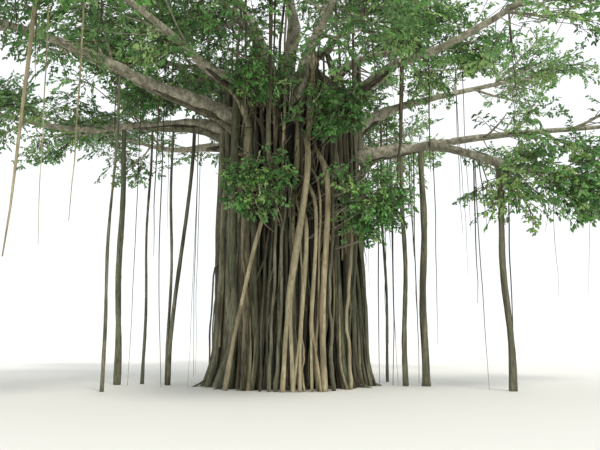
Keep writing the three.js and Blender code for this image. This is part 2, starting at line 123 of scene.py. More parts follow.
# name: heading, height of its start, height of its tip, reach, launch, arrival, thickness
LOWER_BOUGHS = {
    "right": (352, 7.3, 7.95, 5.6, 14, 6, 0.29),
    "right_back": (22, 7.7, 10.2, 5.0, 58, 16, 0.3),
    "back_right": (60, 8.2, 9.3, 5.2, 30, 8, 0.28),
    "back": (98, 7.8, 9.0, 5.4, 22, 10, 0.31),
    "left_back": (138, 8.2, 8.9, 5.3, 20, 4, 0.27),
    "left": (178, 8.55, 8.7, 6.4, 12, -8, 0.27),
    "left_front": (208, 8.65, 9.85, 6.3, 8, 18, 0.35),
    "front_left": (236, 8.3, 9.7, 5.2, 36, 9, 0.26),
    "front_right": (280, 8.4, 9.95, 5.0, 50, 9, 0.25),
    "right_front": (318, 8.5, 9.8, 5.2, 42, 0, 0.28),
}
# name: how many, heading of the first, share of the trunk's radius where they start, and the same sizes
UPPER_BOUGHS = {
    "climbing": (6, 0, 0.52, (9.8, 10.95, 2.6, 66, 18, 0.24)),
    "top": (3, 30, 0.23, (9.95, 14.0, 2.0, 84, 62, 0.28)),
}
LOWER_START = 0.7
UNEVENNESS = 0.25
UP = np.array((0.0, 0.0, 1.0))
DOWN = -UP


def mix(a, b, t):
    return a + (b - a) * t


def unit(v):
    return v / norm(v, axis=-1, keepdims=True)


def polar(heading, distance, height):
    angle = radians(heading)
    return np.array((cos(angle) * distance, sin(angle) * distance, height))


def direction(heading, elevation):
    return polar(heading, cos(radians(elevation)), sin(radians(elevation)))


# the same row of draws as in the source of the solids
def seeded_draws(seed):
    state = seed * 2654435761 % 2**32

    def draw(low=0, high=1):
        nonlocal state
        state = (state * 1664525 + 1013904223) % 2**32
        return mix(low, high, state / 2**32)

    return draw


def limb_points(start, end, launch, arrive, steps, stray, phase):
    handle = norm(end - start) / 3
    corners = np.array((start, start + launch * handle, end - arrive * handle, end))
    span = end - start
    across = unit(np.cross(span, UP)) if hypot(span[0], span[1]) > 0.5 else np.array((1.0, 0, 0))
    t = np.linspace(0, 1, steps + 1)[:, None]
    weights = np.hstack(((1 - t) ** 3, 3 * t * (1 - t) ** 2, 3 * t**2 * (1 - t), t**3))
    offset = stray * np.sin(pi * t) * np.sin(BENDS * pi * t + phase)
    return weights @ corners + offset * across


def point_along(points, t):
    place = t * (len(points) - 1)
    i = min(int(place), len(points) - 2)
    return mix(points[i], points[i + 1], place - i)


# the "solid" points are those of the plain solid, and the others follow the same curve more finely
def make_limb(name, heading, curve, steps, radius_at):
    return SimpleNamespace(
        name=name, heading=heading,
        solid_points=curve(steps), solid_radii=radius_at(np.linspace(0, 1, steps + 1)),
        points=curve(FINE_STEPS), radii=radius_at(np.linspace(0, 1, FINE_STEPS + 1)))


def add_bough(name, heading, sizes, start):
    low, high, reach, launch, arrive, thick = sizes
    draw = seeded_draws(FIRST_BOUGH_SEED + len(boughs))
    end = polar(heading + draw(-STRAY_HEADING, STRAY_HEADING), reach, high)
    ends = (polar(heading, start, low), end, direction(heading, launch), direction(heading, arrive))
    phase = 2 * pi * draw()
    boughs.append(make_limb(
        name, heading, lambda steps: limb_points(*ends, steps, WANDER, phase), BOUGH_STEPS,
        lambda t: thick * (1 - (1 - BOUGH_TAPER) * t**TAPER_CURVE)))


boughs = []
for name, (heading, *sizes) in LOWER_BOUGHS.items():
    add_bough(name, heading, sizes, TRUNK_RADIUS * LOWER_START)
lower = list(boughs)
for name, (count, first, start, (low, high, *rest)) in UPPER_BOUGHS.items():
    for i in range(count):
        sizes = (low, high + (-UNEVENNESS if i % 2 else UNEVENNESS), *rest)
        add_bough(f"{name}_{i + 1}", first + 360 / count * i, sizes, TRUNK_RADIUS * start)
climbing = [bough for bough in boughs if bough.name.startswith("climbing")]
by_name = {limb.name: limb for limb in boughs}

# the limb that drops from the bough on the right: how far along it, its heading, the reach and height
# of its tip, heading and slope at its start, slope at its tip, thickness
DROOP_FROM = 0.82
DROOP_HEADING = 338
DROOP_TIP = (7.9, 6.45)
DROOP_LAUNCH = (308, -22)
DROOP_SLOPE = -16
DROOP_THICK = 0.16
droop_ends = (
    point_along(by_name["right"].solid_points, DROOP_FROM), polar(DROOP_HEADING, *DROOP_TIP),
    direction(*DROOP_LAUNCH), direction(DROOP_HEADING, DROOP_SLOPE))
drooping = make_limb(
    "drooping", DROOP_HEADING, lambda steps: limb_points(*droop_ends, steps, ROOT_WANDER, 1),
    BOUGH_STEPS, lambda t: DROOP_THICK * (1 - 0.5 * t))
boughs.append(drooping)
by_name["drooping"] = drooping

# name: heading of its foot, heading of its top, height, thickness
LEANING_ROOTS = {
    "great": (-92, -72, 8.0, 0.11),
    "slanting": (-129, -98, 6.1, 0.064),
    "front_1": (-82, -76, 5.5, 0.072),
    "front_2": (-75, -70, 6.3, 0.065),
    "front_3": (-67.5, -62, 7.5, 0.098),
}
LEANING_FOOT = 2.86
LEANING_FACE = 2.67
LEANING_SINK = 1.5
LEANING_RISE = 0.35
LEANING_BENDS = (0.86, 0.3)
# name: the bough it hangs from, how far along, how far its foot strays, thickness
HANGING_ROOTS = {
    "left_outer": ("left", 0.86, (0.15, -0.1), 0.1),
    "left_mid": ("left", 0.66, (-0.06, 0.12), 0.048),
    "left_inner": ("left", 0.5, (0.04, -0.06), 0.052),
    "left_near": ("left", 0.34, (-0.64, -0.12), 0.072),
    "left_front": ("left_front", 0.9, (-0.12, 0.06), 0.05),
    "right_inner": ("right_back", 0.66, (0.06, 0.04), 0.05),
    "right_mid": ("right", 0.56, (-0.04, 0.03), 0.08),
    "right_stout": ("right", 0.72, (-0.03, 0.06), 0.12),
    "right_outer": ("drooping", 0.7, (0.12, -0.04), 0.1),
    "back": ("back", 0.75, (0.08, 0.06), 0.11),
}
FOOT_SPREAD = 0.25


def root_width(t):
    return 0.82 + 0.18 * t + FOOT_SPREAD * t**8


def centripetal_spline(corners, steps):
    gaps = norm(np.diff(corners, axis=0), axis=1) ** 0.5
    knots = np.concatenate(([-gaps[0], 0], np.cumsum(gaps), [gaps.sum() + gaps[-1]]))
    ends = np.vstack((2 * corners[0] - corners[1], corners, 2 * corners[-1] - corners[-2]))
    points = []
    for place in np.linspace(0, len(corners) - 1, steps + 1):
        i = min(int(place), len(corners) - 2)
        k = knots[i:i + 4]
        t = mix(k[1], k[2], place - i)
        a = [mix(ends[i + j], ends[i + j + 1], (t - k[j]) / (k[j + 1] - k[j])) for j in range(3)]
        b = [mix(a[j], a[j + 1], (t - k[j]) / (k[j + 2] - k[j])) for j in range(2)]
        points.append(mix(b[0], b[1], (t - k[1]) / (k[2] - k[1])))
    return np.array(points)


def leaning_root(name, foot, top, height, thick):
    bends = [polar(mix(foot, top, t**1.5), LEANING_FACE, height * t) for t in LEANING_BENDS]
    in_trunk = polar(top, LEANING_SINK, height + LEANING_RISE)
    corners = np.array((in_trunk, *bends, polar(foot, LEANING_FOOT, 0)))
    return make_limb(
        name, top, lambda steps: centripetal_spline(corners, steps), ROOT_STEPS + 1,
        lambda t: thick * root_width(t))


roots = [leaning_root(name, *sizes) for name, sizes in LEANING_ROOTS.items()]
for i, (name, (parent, at, stray, thick)) in enumerate(HANGING_ROOTS.items()):
    top = point_along(by_name[parent].solid_points, at)
    foot = np.array((top[0] + stray[0], top[1] + stray[1], 0))
    roots.append(make_limb(
        name, 0, lambda steps: limb_points(top, foot, DOWN, DOWN, steps, ROOT_WANDER, 1.7 * i),
        ROOT_STEPS, lambda t: thick * root_width(t)))

# Trunk
# A banyan's trunk is a sheaf of roots that came down from the boughs and grew together. Each root is
# laid along the face of the solid trunk, from the ground up to the bough that it came from, in two
# layers over an inner body that shows only in the gaps, painted nearly black as painted shade there.
STRAND_STEP = 0.3
OVER_SHOULDER = 9.0
UNDER_BOUGH = 0.4
# reach and height of the two places that a climbing root passes on the dome
ON_THE_DOME = ((2.08, 9.72), (1.75, 10.0))
MOST_TURN = 85
# a root lies this share of its width inside the face, and its foot may stand out by this
SUNK_SHARE = 0.85
FOOT_KICK = (-0.02, 0.16)
FOOT_HEIGHT = 0.3
# further to the side of a bough than this, in degrees, most roots climb past it
ASIDE = 10
CLIMBING_SHARE = 0.6
LAID_ALONG = (0.25, 0.8)
# up to which heading: the widths of the roots there, the room each takes, and the finishes dealt to them
ZONES = {
    165: ((0.06, 0.13), (1.0, 1.5), (1, 2, 4, 1, 3)),
    242: ((0.09, 0.19), (0.95, 1.35), (1, 1, 4, 0, 2)),
    # the front middle, up to 304, gets more of the dark bark, partly root colour and partly painted shade
    # in its recess
    304: ((0.04, 0.085), (1.2, 2.6), (0, 2, 3, 3, 2)),
    348: ((0.05, 0.1), (1.0, 1.6), (4, 2, 4, 1, 3)),
    360: ((0.06, 0.13), (1.0, 1.5), (1, 2, 4, 1, 3)),
}
# depth, share of that width and of that room, how often a root has a second leg, finishes of its own
# the deeper layer gets only the brown and the dark bark, as painted shade where it lies back
LAYERS = (((0.0, 0.07), 1.0, 1.0, 0.4, None), ((0.16, 0.3), 0.8, 1.3, 0.0, (2, 3, 3)))
# heights where a second leg leaves its root, and how many of the root's widths its foot is aside
FORK_HEIGHTS = (0.9, 3.4)
FORK_ASIDE = (1.6, 3.2)
BELOW_GROUND = -0.12
LEAST_REACH = 0.3
random = np.random.default_rng(7)
between = random.uniform
trunk_mesh = nodes["trunk"].data
trunk_face = BVHTree.FromPolygons(
    [v.co for v in trunk_mesh.vertices], [tuple(p.vertices) for p in trunk_mesh.polygons])


def face_radius(heading, height):
    inward = Vector((-cos(heading), -sin(heading), 0))
    hit = trunk_face.ray_cast(-8 * inward + Vector((0, 0, height)), inward)[0]
    return hypot(hit[0], hit[1]) if hit else LEAST_REACH


def apart(a, b):
    return (a - b + 180) % 360 - 180


def rough(count, size):
    return size * np.convolve(random.normal(0, 1, count + 8), np.ones(5) / 5, "same")[4:4 + count]


# points moved towards the axis of the trunk, to a share of their distance
def drawn_in(points, share):
    return points * (share, share, 1)


def on_face(heading_at, low, high, width, depth):
    heights = np.arange(low, high + 0.01, STRAND_STEP)
    headings = heading_at(heights)
    sunk = width * SUNK_SHARE + depth
    kick = between(*FOOT_KICK) * np.exp(-np.maximum(heights, 0) / FOOT_HEIGHT)
    reaches = [face_radius(h, max(z, 0.02)) - sunk + k for h, z, k in zip(headings, heights, kick)]
    points = [polar(degrees(h), r, z) for h, r, z in zip(headings, reaches, heights)]
    spread = 1 + 0.3 * np.exp(-np.maximum(heights, 0) / 0.5)
    return np.array(points), width * spread * (1 + rough(len(heights), size=0.24))


def wandering(foot, top, top_height, sway):
    phase, second = between(0, 6.3, 2)

    def heading_at(heights):
        share = np.clip(heights / top_height, 0, 1)
        waves = np.sin(heights / 1.7 + phase) + 0.5 * np.sin(heights / 0.7 + second)
        return radians(foot) + radians(apart(top, foot)) * share**2.4 + sway * waves

    return heading_at


def out_along(bough, turn, width, stretch):
    points, radii = bough.points, bough.radii
    climbs = bough in climbing
    outside = np.hypot(points[:, 0], points[:, 1]) > TRUNK_RADIUS + 0.4
    first = int(np.argmax(points[:, 2] > DOME_TOP - 0.1 if climbs else outside))
    chosen = np.arange(first, first + int(stretch * (len(points) - first)), 3)
    out = unit(points[first] * np.array((1, 1, 0)))
    laid, widths = [], []
    for n, i in enumerate(chosen):
        along = unit(points[min(i + 1, len(points) - 1)] - points[i - 1])
        side = unit(np.cross(along, out if climbs else DOWN))
        under = np.cross(side, along)
        swing = turn * (1 + 0.25 * sin(n * 0.8 + turn * 5))
        laid.append(points[i] + (under * cos(swing) + side * sin(swing)) * radii[i] * 0.92)
        widths.append(width * mix(0.9, 0.3, n / max(len(chosen) - 1, 1)))
    return np.array(laid), np.array(widths)


def exit_height(bough):
    points = bough.points
    return points[int(np.argmax(np.hypot(points[:, 0], points[:, 1]) > TRUNK_RADIUS)), 2]


def nearest_of(ring, heading):
    return min(ring, key=lambda bough: abs(apart(bough.heading, heading)))


def full_strand(foot, width, depth, low=BELOW_GROUND):
    bough = nearest_of(lower, foot)
    off = apart(foot, bough.heading)
    climbs = low > 1 or (abs(off) > ASIDE and random.random() < CLIMBING_SHARE)
    if climbs:
        bough = nearest_of(climbing, foot)
        off = apart(foot, bough.heading)
        top_height, top = OVER_SHOULDER, bough.heading + off * 0.8
    else:
        top_height, top = exit_height(bough) - UNDER_BOUGH, bough.heading + off * 0.5
    heading_at = wandering(foot, top, top_height, sway=0.024)
    points, widths = on_face(heading_at, low, top_height, width, depth)
    turn = radians(np.clip(-off * (2.2 if climbs else 3.4), -MOST_TURN, MOST_TURN))
    laid, laid_widths = out_along(bough, turn, width, between(*LAID_ALONG))
    if climbs:
        laid = np.vstack(([polar(top, *place) for place in ON_THE_DOME], laid))
        laid_widths = np.concatenate(([width * 0.95] * 2, laid_widths))
    return np.vstack((points, laid)), np.concatenate((widths, laid_widths)), heading_at


strands = []
for depths, size, apart_by, legs, own_finishes in LAYERS:
    heading = 0.0
    while heading < 360:
        zone_widths, rooms, zone_finishes = next(ZONES[to] for to in ZONES if heading < to)
        width = between(*zone_widths) * size
        half_room = degrees(width * between(*rooms) * apart_by / TRUNK_RADIUS)
        heading += half_room
        depth = between(*depths)
        finish = int(random.choice(own_finishes or zone_finishes))
        points, widths, heading_at = full_strand(heading, width, depth)
        strands.append((points, widths, finish))
        if random.random() < legs:
            fork = between(*FORK_HEIGHTS)
            lean = random.choice((-1, 1)) * width * between(*FORK_ASIDE) / TRUNK_RADIUS
            leg = on_face(
                lambda z: heading_at(z) + lean * np.clip(1 - z / fork, 0, 1),
                BELOW_GROUND, fork + 0.5, width * 0.75, depth)
            strands.append((*leg, finish))
        heading += half_room

# above each lower bough, roots from higher up that ended on its back, this far to its sides
BACK_ROOTS = (-8, -3, 3, 8)
BACK_ROOT_WIDTH = (0.05, 0.1)
ABOVE_BOUGH = (0.1, 0.3)
for bough in lower:
    for off in BACK_ROOTS:
        width = between(*BACK_ROOT_WIDTH)
        low = min(exit_height(bough) + between(*ABOVE_BOUGH), OVER_SHOULDER - STRAND_STEP)
        points, widths, heading_at = full_strand(bough.heading + off, width, depth=0.03, low=low)
        strands.append((points, widths, 1))

# thin young roots that cross the others, and grow into the trunk at their upper end
CROSSING_COUNT = 60
CROSSING_WIDTH = (0.02, 0.045)
CROSSING_START = (0.8, 4)
CROSSING_LENGTH = (2.5, 5)
CROSSING_TURN = (-16, 16)
for i in range(CROSSING_COUNT):
    foot = between(0, 360)
    low = BELOW_GROUND if i % 2 else between(*CROSSING_START)
    high = low + between(*CROSSING_LENGTH)
    heading_at = wandering(foot, foot + between(*CROSSING_TURN), high, sway=0.03)
    points, widths = on_face(heading_at, low, high, between(*CROSSING_WIDTH), depth=-0.03)
    last = points[-1]
    sunk_end = [drawn_in(last, 0.95) + UP * 0.15, drawn_in(last, 0.84) + UP * 0.45]
    widths = np.append(widths, (widths[-1] * 0.8, widths[-1] * 0.5))
    strands.append((np.vstack((points, sunk_end)), widths, (0, 1, 4)[i % 3]))

# a tangle of the thinnest over the upper face, between the leafy shoots, each arched out of the trunk
TANGLE_COUNT = 130
TANGLE_STEPS = 9
TANGLE_WIDTH = (0.01, 0.024)
TANGLE_HEADINGS = (-125, -52)
TANGLE_HEIGHTS = (5.0, 8.6)
TANGLE_TURN = (-24, 24)
TANGLE_RISE = (-0.5, 1.3)
TANGLE_BULGE = (0.28, 0.66)
TANGLE_SINK = 0.22
t = np.linspace(0, 1, TANGLE_STEPS)
for i in range(TANGLE_COUNT):
    heading, low = between(*TANGLE_HEADINGS), between(*TANGLE_HEIGHTS)
    headings = heading + between(*TANGLE_TURN) * t + np.cumsum(random.normal(0, 0.7, TANGLE_STEPS))
    heights = low + between(*TANGLE_RISE) * t + np.cumsum(random.normal(0, 0.04, TANGLE_STEPS))
    out = between(*TANGLE_BULGE) * np.sin(pi * t) ** 0.7 - TANGLE_SINK
    points = [
        polar(h, face_radius(radians(h), z) + o, z) for h, z, o in zip(headings, heights, out)]
    width = between(*TANGLE_WIDTH)
    strands.append((np.array(points), width * mix(1, 0.5, t), (2, 0, 1)[i % 3]))

# low roots that run out over the ground from the foot of the trunk
GROUND_ROOT_COUNT = 56
GROUND_ROOT_WIDTH = (0.035, 0.09)
GROUND_ROOT_REACH = (0.6, 1.05)
GROUND_ROOT_TURN = (-9, 9)
GROUND_ROOT_START = (0.15, 0.4)
GROUND_ROOT_SINK = 0.35
for i in range(GROUND_ROOT_COUNT):
    heading, width = between(0, 360), between(*GROUND_ROOT_WIDTH)
    reach = between(*GROUND_ROOT_REACH)
    headings = heading + between(*GROUND_ROOT_TURN) * t + 0.6 * np.sin(5 * t + i)
    heights = between(*GROUND_ROOT_START) * (1 - t) ** 1.6 - width * 0.9 * t
    start = face_radius(radians(heading), 0.3) - GROUND_ROOT_SINK
    points = [polar(h, start + reach * x, z) for h, z, x in zip(headings, heights, t)]
    strands.append((np.array(points), width * mix(1, 0.35, t), (1, 2, 4)[i % 3]))


def add_node(tree, kind, inputs, **settings):
    node = tree.nodes.new("ShaderNode" + kind)
    for name, value in settings.items():
        setattr(node, name, value)
    fill_inputs(node, inputs)
    return node


# the colour at 0 and the colour at 1, mixed by share
def blend(tree, share, a, b):
    return add_node(tree, "Mix", {0: share, 6: a, 7: b}, data_type="RGBA").outputs[2]


# one pattern shades all the barks of the tree, darker in the furrows and cracks, and gives them their
# roughness and relief. On the trunk and the free roots it is drawn out into long streaks.
def bark_weather():
    group = bpy.data.node_groups.new("bark weather", "ShaderNodeTree")
    inputs = {"Place": "Vector", "Dark": "Color", "Light": "Color", "Stain": "Color"}
    outputs = {"Color": "Color", "Roughness": "Float", "Height": "Float"}
    for side, sockets in (("INPUT", inputs), ("OUTPUT", outputs)):
        for name, kind in sockets.items():
            group.interface.new_socket(name, in_out=side, socket_type="NodeSocket" + kind)
    given = group.nodes.new("NodeGroupInput").outputs

    def cloud(scale, detail, distortion=0.0):
        inputs = {"Vector": given["Place"], "Scale": scale, "Detail": detail, "Distortion": distortion}
        return add_node(group, "TexNoise", inputs).outputs["Fac"]

    def spread(value, low, high, to_low=0.0, to_high=1.0):
        inputs = {"Value": value, "From Min": low, "From Max": high, "To Min": to_low, "To Max": to_high}
        return add_node(group, "MapRange", inputs).outputs["Result"]

    streaks = cloud(scale=5.5, detail=6, distortion=0.4)
    patches = cloud(scale=1.3, detail=3)
    grain = cloud(scale=34, detail=5)
    cracks = cloud(scale=19, detail=4, distortion=0.8)
    base = blend(group, spread(streaks, 0.34, 0.66), given["Dark"], given["Light"])
    stained = blend(group, spread(patches, 0.5, 0.68, 0, 0.7), base, given["Stain"])
    worn = blend(group, spread(grain, 0.35, 0.6, 0.45, 0), stained, given["Dark"])
    cracked = blend(group, spread(cracks, 0.36, 0.47, 0.8, 0), worn, given["Dark"])
    height = streaks
    for share, value in ((0.45, grain), (0.5, cracks)):
        inputs = {0: value, 1: share, 2: height}
        height = add_node(group, "Math", inputs, operation="MULTIPLY_ADD").outputs["Value"]
    roughness = spread(grain, 0.3, 0.7, 0.72, 0.95)
    fill_inputs(
        group.nodes.new("NodeGroupOutput"), {"Color": cracked, "Roughness": roughness, "Height": height})
    return group


weather = bark_weather()
DOWN_STREAKS = 0.14


def bark_finish(name, dark, light, stain, relief, stretch=DOWN_STREAKS):
    finish, tree, shader = new_finish(name)
    place = add_node(tree, "TexCoord", {}).outputs["Object"]
    along = add_node(tree, "Mapping", {"Vector": place, "Scale": (1, 1, stretch)}).outputs["Vector"]
    colours = {"Dark": (*dark, 1), "Light": (*light, 1), "Stain": (*stain, 1)}
    pattern = add_node(tree, "Group", {"Place": along, **colours}, node_tree=weather).outputs
    bump = add_node(tree, "Bump", {"Height": pattern["Height"], "Distance": relief, "Strength": 0.8})
    fill_inputs(shader, {
        "Base Color": pattern["Color"], "Roughness": pattern["Roughness"],
        "Normal": bump.outputs["Normal"], "Specular IOR Level": 0.25})
    return finish


# name, dark, light and stained colour, relief, and how the pattern is stretched where it isn't as usual
BARKS = (
    ("tan bark", (0.12, 0.098, 0.056), (0.43, 0.385, 0.23), (0.28, 0.28, 0.165), 0.03),
    ("grey bark", (0.072, 0.067, 0.044), (0.285, 0.275, 0.18), (0.17, 0.186, 0.115), 0.04),
    ("brown bark", (0.045, 0.038, 0.024), (0.17, 0.15, 0.095), (0.098, 0.103, 0.062), 0.04),
    ("dark bark", (0.024, 0.021, 0.015), (0.09, 0.08, 0.053), (0.055, 0.059, 0.037), 0.04),
    ("olive bark", (0.056, 0.057, 0.035), (0.22, 0.229, 0.138), (0.132, 0.156, 0.086), 0.04),
    # nearly black, painted shade for the trunk's inner body, which shows only in the gaps between roots
    ("furrow bark", (0.01, 0.0085, 0.0065), (0.04, 0.034, 0.024), (0.026, 0.026, 0.018), 0.03),
    ("bough bark", (0.16, 0.146, 0.108), (0.6, 0.56, 0.43), (0.31, 0.335, 0.22), 0.03, 0.8),
    ("pale root bark", (0.2, 0.16, 0.095), (0.57, 0.5, 0.31), (0.37, 0.34, 0.215), 0.012, 0.16),
)
*strand_finishes, painted_shade_bark, bough_bark, root_bark = [bark_finish(*row) for row in BARKS]


def take_up(piece):
    bpy.ops.object.select_all(action="DESELECT")
    piece.select_set(True)
    bpy.context.view_layer.objects.active = piece


def add_piece(name, shape, finishes):
    for finish in finishes:
        shape.materials.append(finish)
    piece = bpy.data.objects.new(name, shape)
    bpy.context.collection.objects.link(piece)
    take_up(piece)
    return piece


def strands_to_mesh(name, strands, finishes, sides, kind="NURBS"):
    curve = bpy.data.curves.new(name, "CURVE")
    curve.dimensions = "3D"
    curve.bevel_depth = 1
    curve.bevel_resolution = sides // 2 - 2
    curve.use_fill_caps = True
    curve.resolution_u = 1
    add_piece(name, curve, finishes)
    for points, widths, finish in strands:
        spline = curve.splines.new(kind)
        spline.points.add(len(points) - 1)
        spline.points.foreach_set("co", np.column_stack((points, np.ones(len(points)))).ravel())
        spline.points.foreach_set("radius", np.asarray(widths, float))
        spline.material_index = finish
        if kind == "NURBS":
            spline.order_u = 4
            spline.use_endpoint_u = True
    bpy.ops.object.convert(target="MESH")
    piece = bpy.context.object
    piece.name = name
    return piece


def add_lumps(piece, size, depth):
    take_up(piece)
    grain = bpy.data.textures.new(f"{piece.name} lumps {size}", "CLOUDS")
    grain.noise_scale = size
    grain.noise_depth = 2
    lumps = piece.modifiers.new("lumps", "DISPLACE")
    lumps.texture = grain
    lumps.texture_coords = "LOCAL"
    lumps.strength = depth
    bpy.ops.object.modifier_apply(modifier=lumps.name)


def cut_at_ground(piece):
    take_up(piece)
    bpy.ops.object.mode_set(mode="EDIT")
    bpy.ops.mesh.select_all(action="SELECT")
    bpy.ops.mesh.bisect(plane_co=(0, 0, 0), plane_no=(0, 0, 1), clear_inner=True, use_fill=True)
    bpy.ops.object.mode_set(mode="OBJECT")
    for vertex in piece.data.vertices:
        vertex.co.z = max(vertex.co.z, 0)


def ride_as(piece, slot, *replaced):
    take_up(piece)
    bpy.ops.object.shade_smooth()
    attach(piece, "root")
    if replaced:
        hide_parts(*replaced)


sheaf = strands_to_mesh("trunk_roots", strands, strand_finishes, sides=8)
add_lumps(sheaf, size=0.2, depth=0.03)
cut_at_ground(sheaf)

INNER_SHRINK = 0.32
INNER_GRID = 0.1
SAME_PLACE = 0.0005
# the inner body is painted nearly black, as painted shade in the gaps between the roots
inner_mesh = trunk_mesh.copy()
inner_mesh.materials.clear()
inner = add_piece("trunk_body", inner_mesh, [painted_shade_bark])
bpy.ops.object.mode_set(mode="EDIT")
bpy.ops.mesh.select_all(action="SELECT")
bpy.ops.mesh.remove_doubles(threshold=SAME_PLACE)
bpy.ops.mesh.normals_make_consistent(inside=False)
bpy.ops.object.mode_set(mode="OBJECT")
for vertex in inner_mesh.vertices:
    if vertex.co.z < SAME_PLACE:
        vertex.co.z = -2 * INNER_SHRINK
skin = inner.modifiers.new("skin", "REMESH")
skin.mode = "VOXEL"
skin.voxel_size = INNER_GRID
shrink = inner.modifiers.new("shrink", "DISPLACE")
shrink.mid_level = 0
shrink.strength = -INNER_SHRINK
for modifier in ("skin", "shrink"):
    bpy.ops.object.modifier_apply(modifier=modifier)
add_lumps(inner, size=0.3, depth=0.1)
cut_at_ground(inner)
ride_as(sheaf, "bark", "trunk")
ride_as(inner, "bark", "trunk")

# Boughs
# Stout living limbs with grey bark, rounded and a little lumpy, each tapering from the trunk to where
# it breaks up into the branches of its own mass of foliage.
COLLAR = 0.35
collar = 1 + COLLAR * np.exp(-np.linspace(0, 1, FINE_STEPS + 1) * 9)
collared = [(bough.points, bough.radii * collar, 0) for bough in boughs]
bough_piece = strands_to_mesh("boughs", collared, [bough_bark], sides=20, kind="POLY")
add_lumps(bough_piece, size=0.6, depth=0.14)
add_lumps(bough_piece, size=0.16, depth=0.04)
ride_as(bough_piece, "bark", *["bough_" + bough.name for bough in boughs])

# Free roots
# Younger roots that stand or hang clear of the trunk. Many have reached the ground and thickened into
# props, mostly pale before the trunk and grey at its sides, and others hang as cords over its face.
LEG_WIDTH = 0.9
# name of the leaning root: the height where a leg leaves it, and how far to the side its foot is
LEGS = {"great": (2.6, 0.3), "front_1": (1.5, -0.2), "front_2": (1.9, 0.26)}
# the share of its width that a root loses below its leg, and how far up the leg is grown to it
LEG_LOSS = 0.38
LEG_OVERLAP = 0.35
PALE, GREY, BROWN, OLIVE = range(4)
# roots too young to be solids of their own: foot, top, height, thickness, and which bark
YOUNG_ROOTS = (
    (-106, -104, 5.2, 0.035, BROWN), (-101, -95, 6.6, 0.05, GREY), (-96, -90, 6.2, 0.055, GREY),
    (-86, -89, 6.8, 0.035, BROWN), (-79, -82, 5.9, 0.035, PALE), (-71, -66, 6.9, 0.04, PALE),
    (-60, -57, 7.4, 0.055, GREY), (-118, -112, 7.0, 0.05, BROWN), (-44, -40, 6.2, 0.05, PALE),
)
# cords that hang over the front of the trunk: heading, thickness, where they end, and which bark
FRONT_CORDS = (
    (207, 0.1, BELOW_GROUND, GREY), (222, 0.12, BELOW_GROUND, OLIVE), (233, 0.06, 3.0, GREY),
    (254, 0.075, 5.4, GREY), (262, 0.05, 6.2, BROWN), (267, 0.04, 5.0, PALE), (288, 0.095, 6.6, PALE),
    (303, 0.045, 4.0, GREY), (318, 0.075, BELOW_GROUND, OLIVE), (330, 0.05, BELOW_GROUND, BROWN),
)
SIDE_CORD_COUNT = 18
SIDE_CORD_HEADINGS = (-25, 195)
SIDE_CORD_WIDTH = (0.02, 0.07)
SIDE_CORD_ENDS = (BELOW_GROUND, BELOW_GROUND, 3.0, 5.0)
CORD_TOP = 8.8
CORD_LEAVES_TRUNK = 9.7
HIGH_ENOUGH = 10.5
BEST_ANCHOR = 11.5


# a root that stands on the ground goes on a little below it, and is cut there later
def sunk_foot(points, widths):
    return np.vstack((points, points[-1] + DOWN * 0.1)), np.append(widths, widths[-1])


free_strands = []
for root in roots:
    points, widths = sunk_foot(root.points, root.radii)
    widths = widths * (1 + rough(len(points), size=0.12))
    if root.name in LEGS:
        fork, aside = LEGS[root.name]
        share = np.clip(1 - points[:, 2] / fork, 0, 1)
        widths = widths * (1 - LEG_LOSS * np.clip(share * 4, 0, 1))
        low = points[:, 2] < fork + LEG_OVERLAP
        leg = points[low] + np.array((aside, 0, 0)) * share[low, None] ** 0.8
        free_strands.append((leg, widths[low] * LEG_WIDTH, PALE))
    free_strands.append((points, widths, PALE if root.name in LEANING_ROOTS else GREY))
for *row, finish in YOUNG_ROOTS:
    young = leaning_root("", *row)
    points = drawn_in(young.points, 0.95) + rough(FINE_STEPS + 1, size=0.06)[:, None] * (1, 0.3, 0)
    free_strands.append((*sunk_foot(points, young.radii), finish))

climbers = np.vstack([bough.points for bough in boughs if bough.points[-1][2] > HIGH_ENOUGH])
climbers = climbers[climbers[:, 2] > HIGH_ENOUGH]
cord_rows = list(FRONT_CORDS)
for i, heading in enumerate(between(*SIDE_CORD_HEADINGS, SIDE_CORD_COUNT)):
    cord_rows.append((heading, between(*SIDE_CORD_WIDTH), SIDE_CORD_ENDS[i % 4], GREY))
for heading, thick, low, finish in cord_rows:
    line = polar(heading, face_radius(radians(heading), OVER_SHOULDER) + thick * 0.6, 0)
    sideways = norm(climbers[:, :2] - line[:2], axis=1)
    anchor = climbers[int(np.argmin(sideways + 0.15 * np.abs(climbers[:, 2] - BEST_ANCHOR)))]
    hang = (anchor, mix(anchor, line + UP * (anchor[2] - 0.5), 0.6), line + UP * CORD_LEAVES_TRUNK)
    way_down = wandering(heading + between(-5, 5), heading, CORD_TOP, sway=0.02)
    face, widths = on_face(way_down, low, CORD_TOP, thick, -thick)
    if low > 0:
        face[0] = drawn_in(face[0], 0.86)
        face[1] = drawn_in(face[1], 0.95)
        widths[0] *= 0.5
    widths = np.concatenate(([thick * 0.8] * 3, widths[::-1]))
    free_strands.append((np.vstack((*hang, face[::-1])), widths, finish))

free_finishes = [root_bark, strand_finishes[1], strand_finishes[2], strand_finishes[4]]
free_piece = strands_to_mesh("free_roots", free_strands, free_finishes, sides=10)
add_lumps(free_piece, size=0.3, depth=0.02)
cut_at_ground(free_piece)
ride_as(free_piece, "free_root", *["root_" + root.name for root in roots])

# Foliage
# Each bough tip carries one mass: a stem, branches at golden angles round it, and sprays of leaves.
# The rule is the one that made the solids, carried on to finer branches within the same space.
GOLDEN_ANGLE = pi * (3 - sqrt(5))
# how far the middle of a mass is ahead of its bough's tip, its half sizes, branches, length of a spray
SPACES = {
    "lower": (3.9, (4.6, 3.2, 2.3), 6, 2.45),
    "climbing": (1.5, (3.7, 3.0, 2.2), 7, 2.1),
    "top": (1.5, (5.0, 4.3, 3.0), 7, 2.6),
    "drooping": (-0.1, (3.1, 2.0, 1.4), 5, 1.7),
}
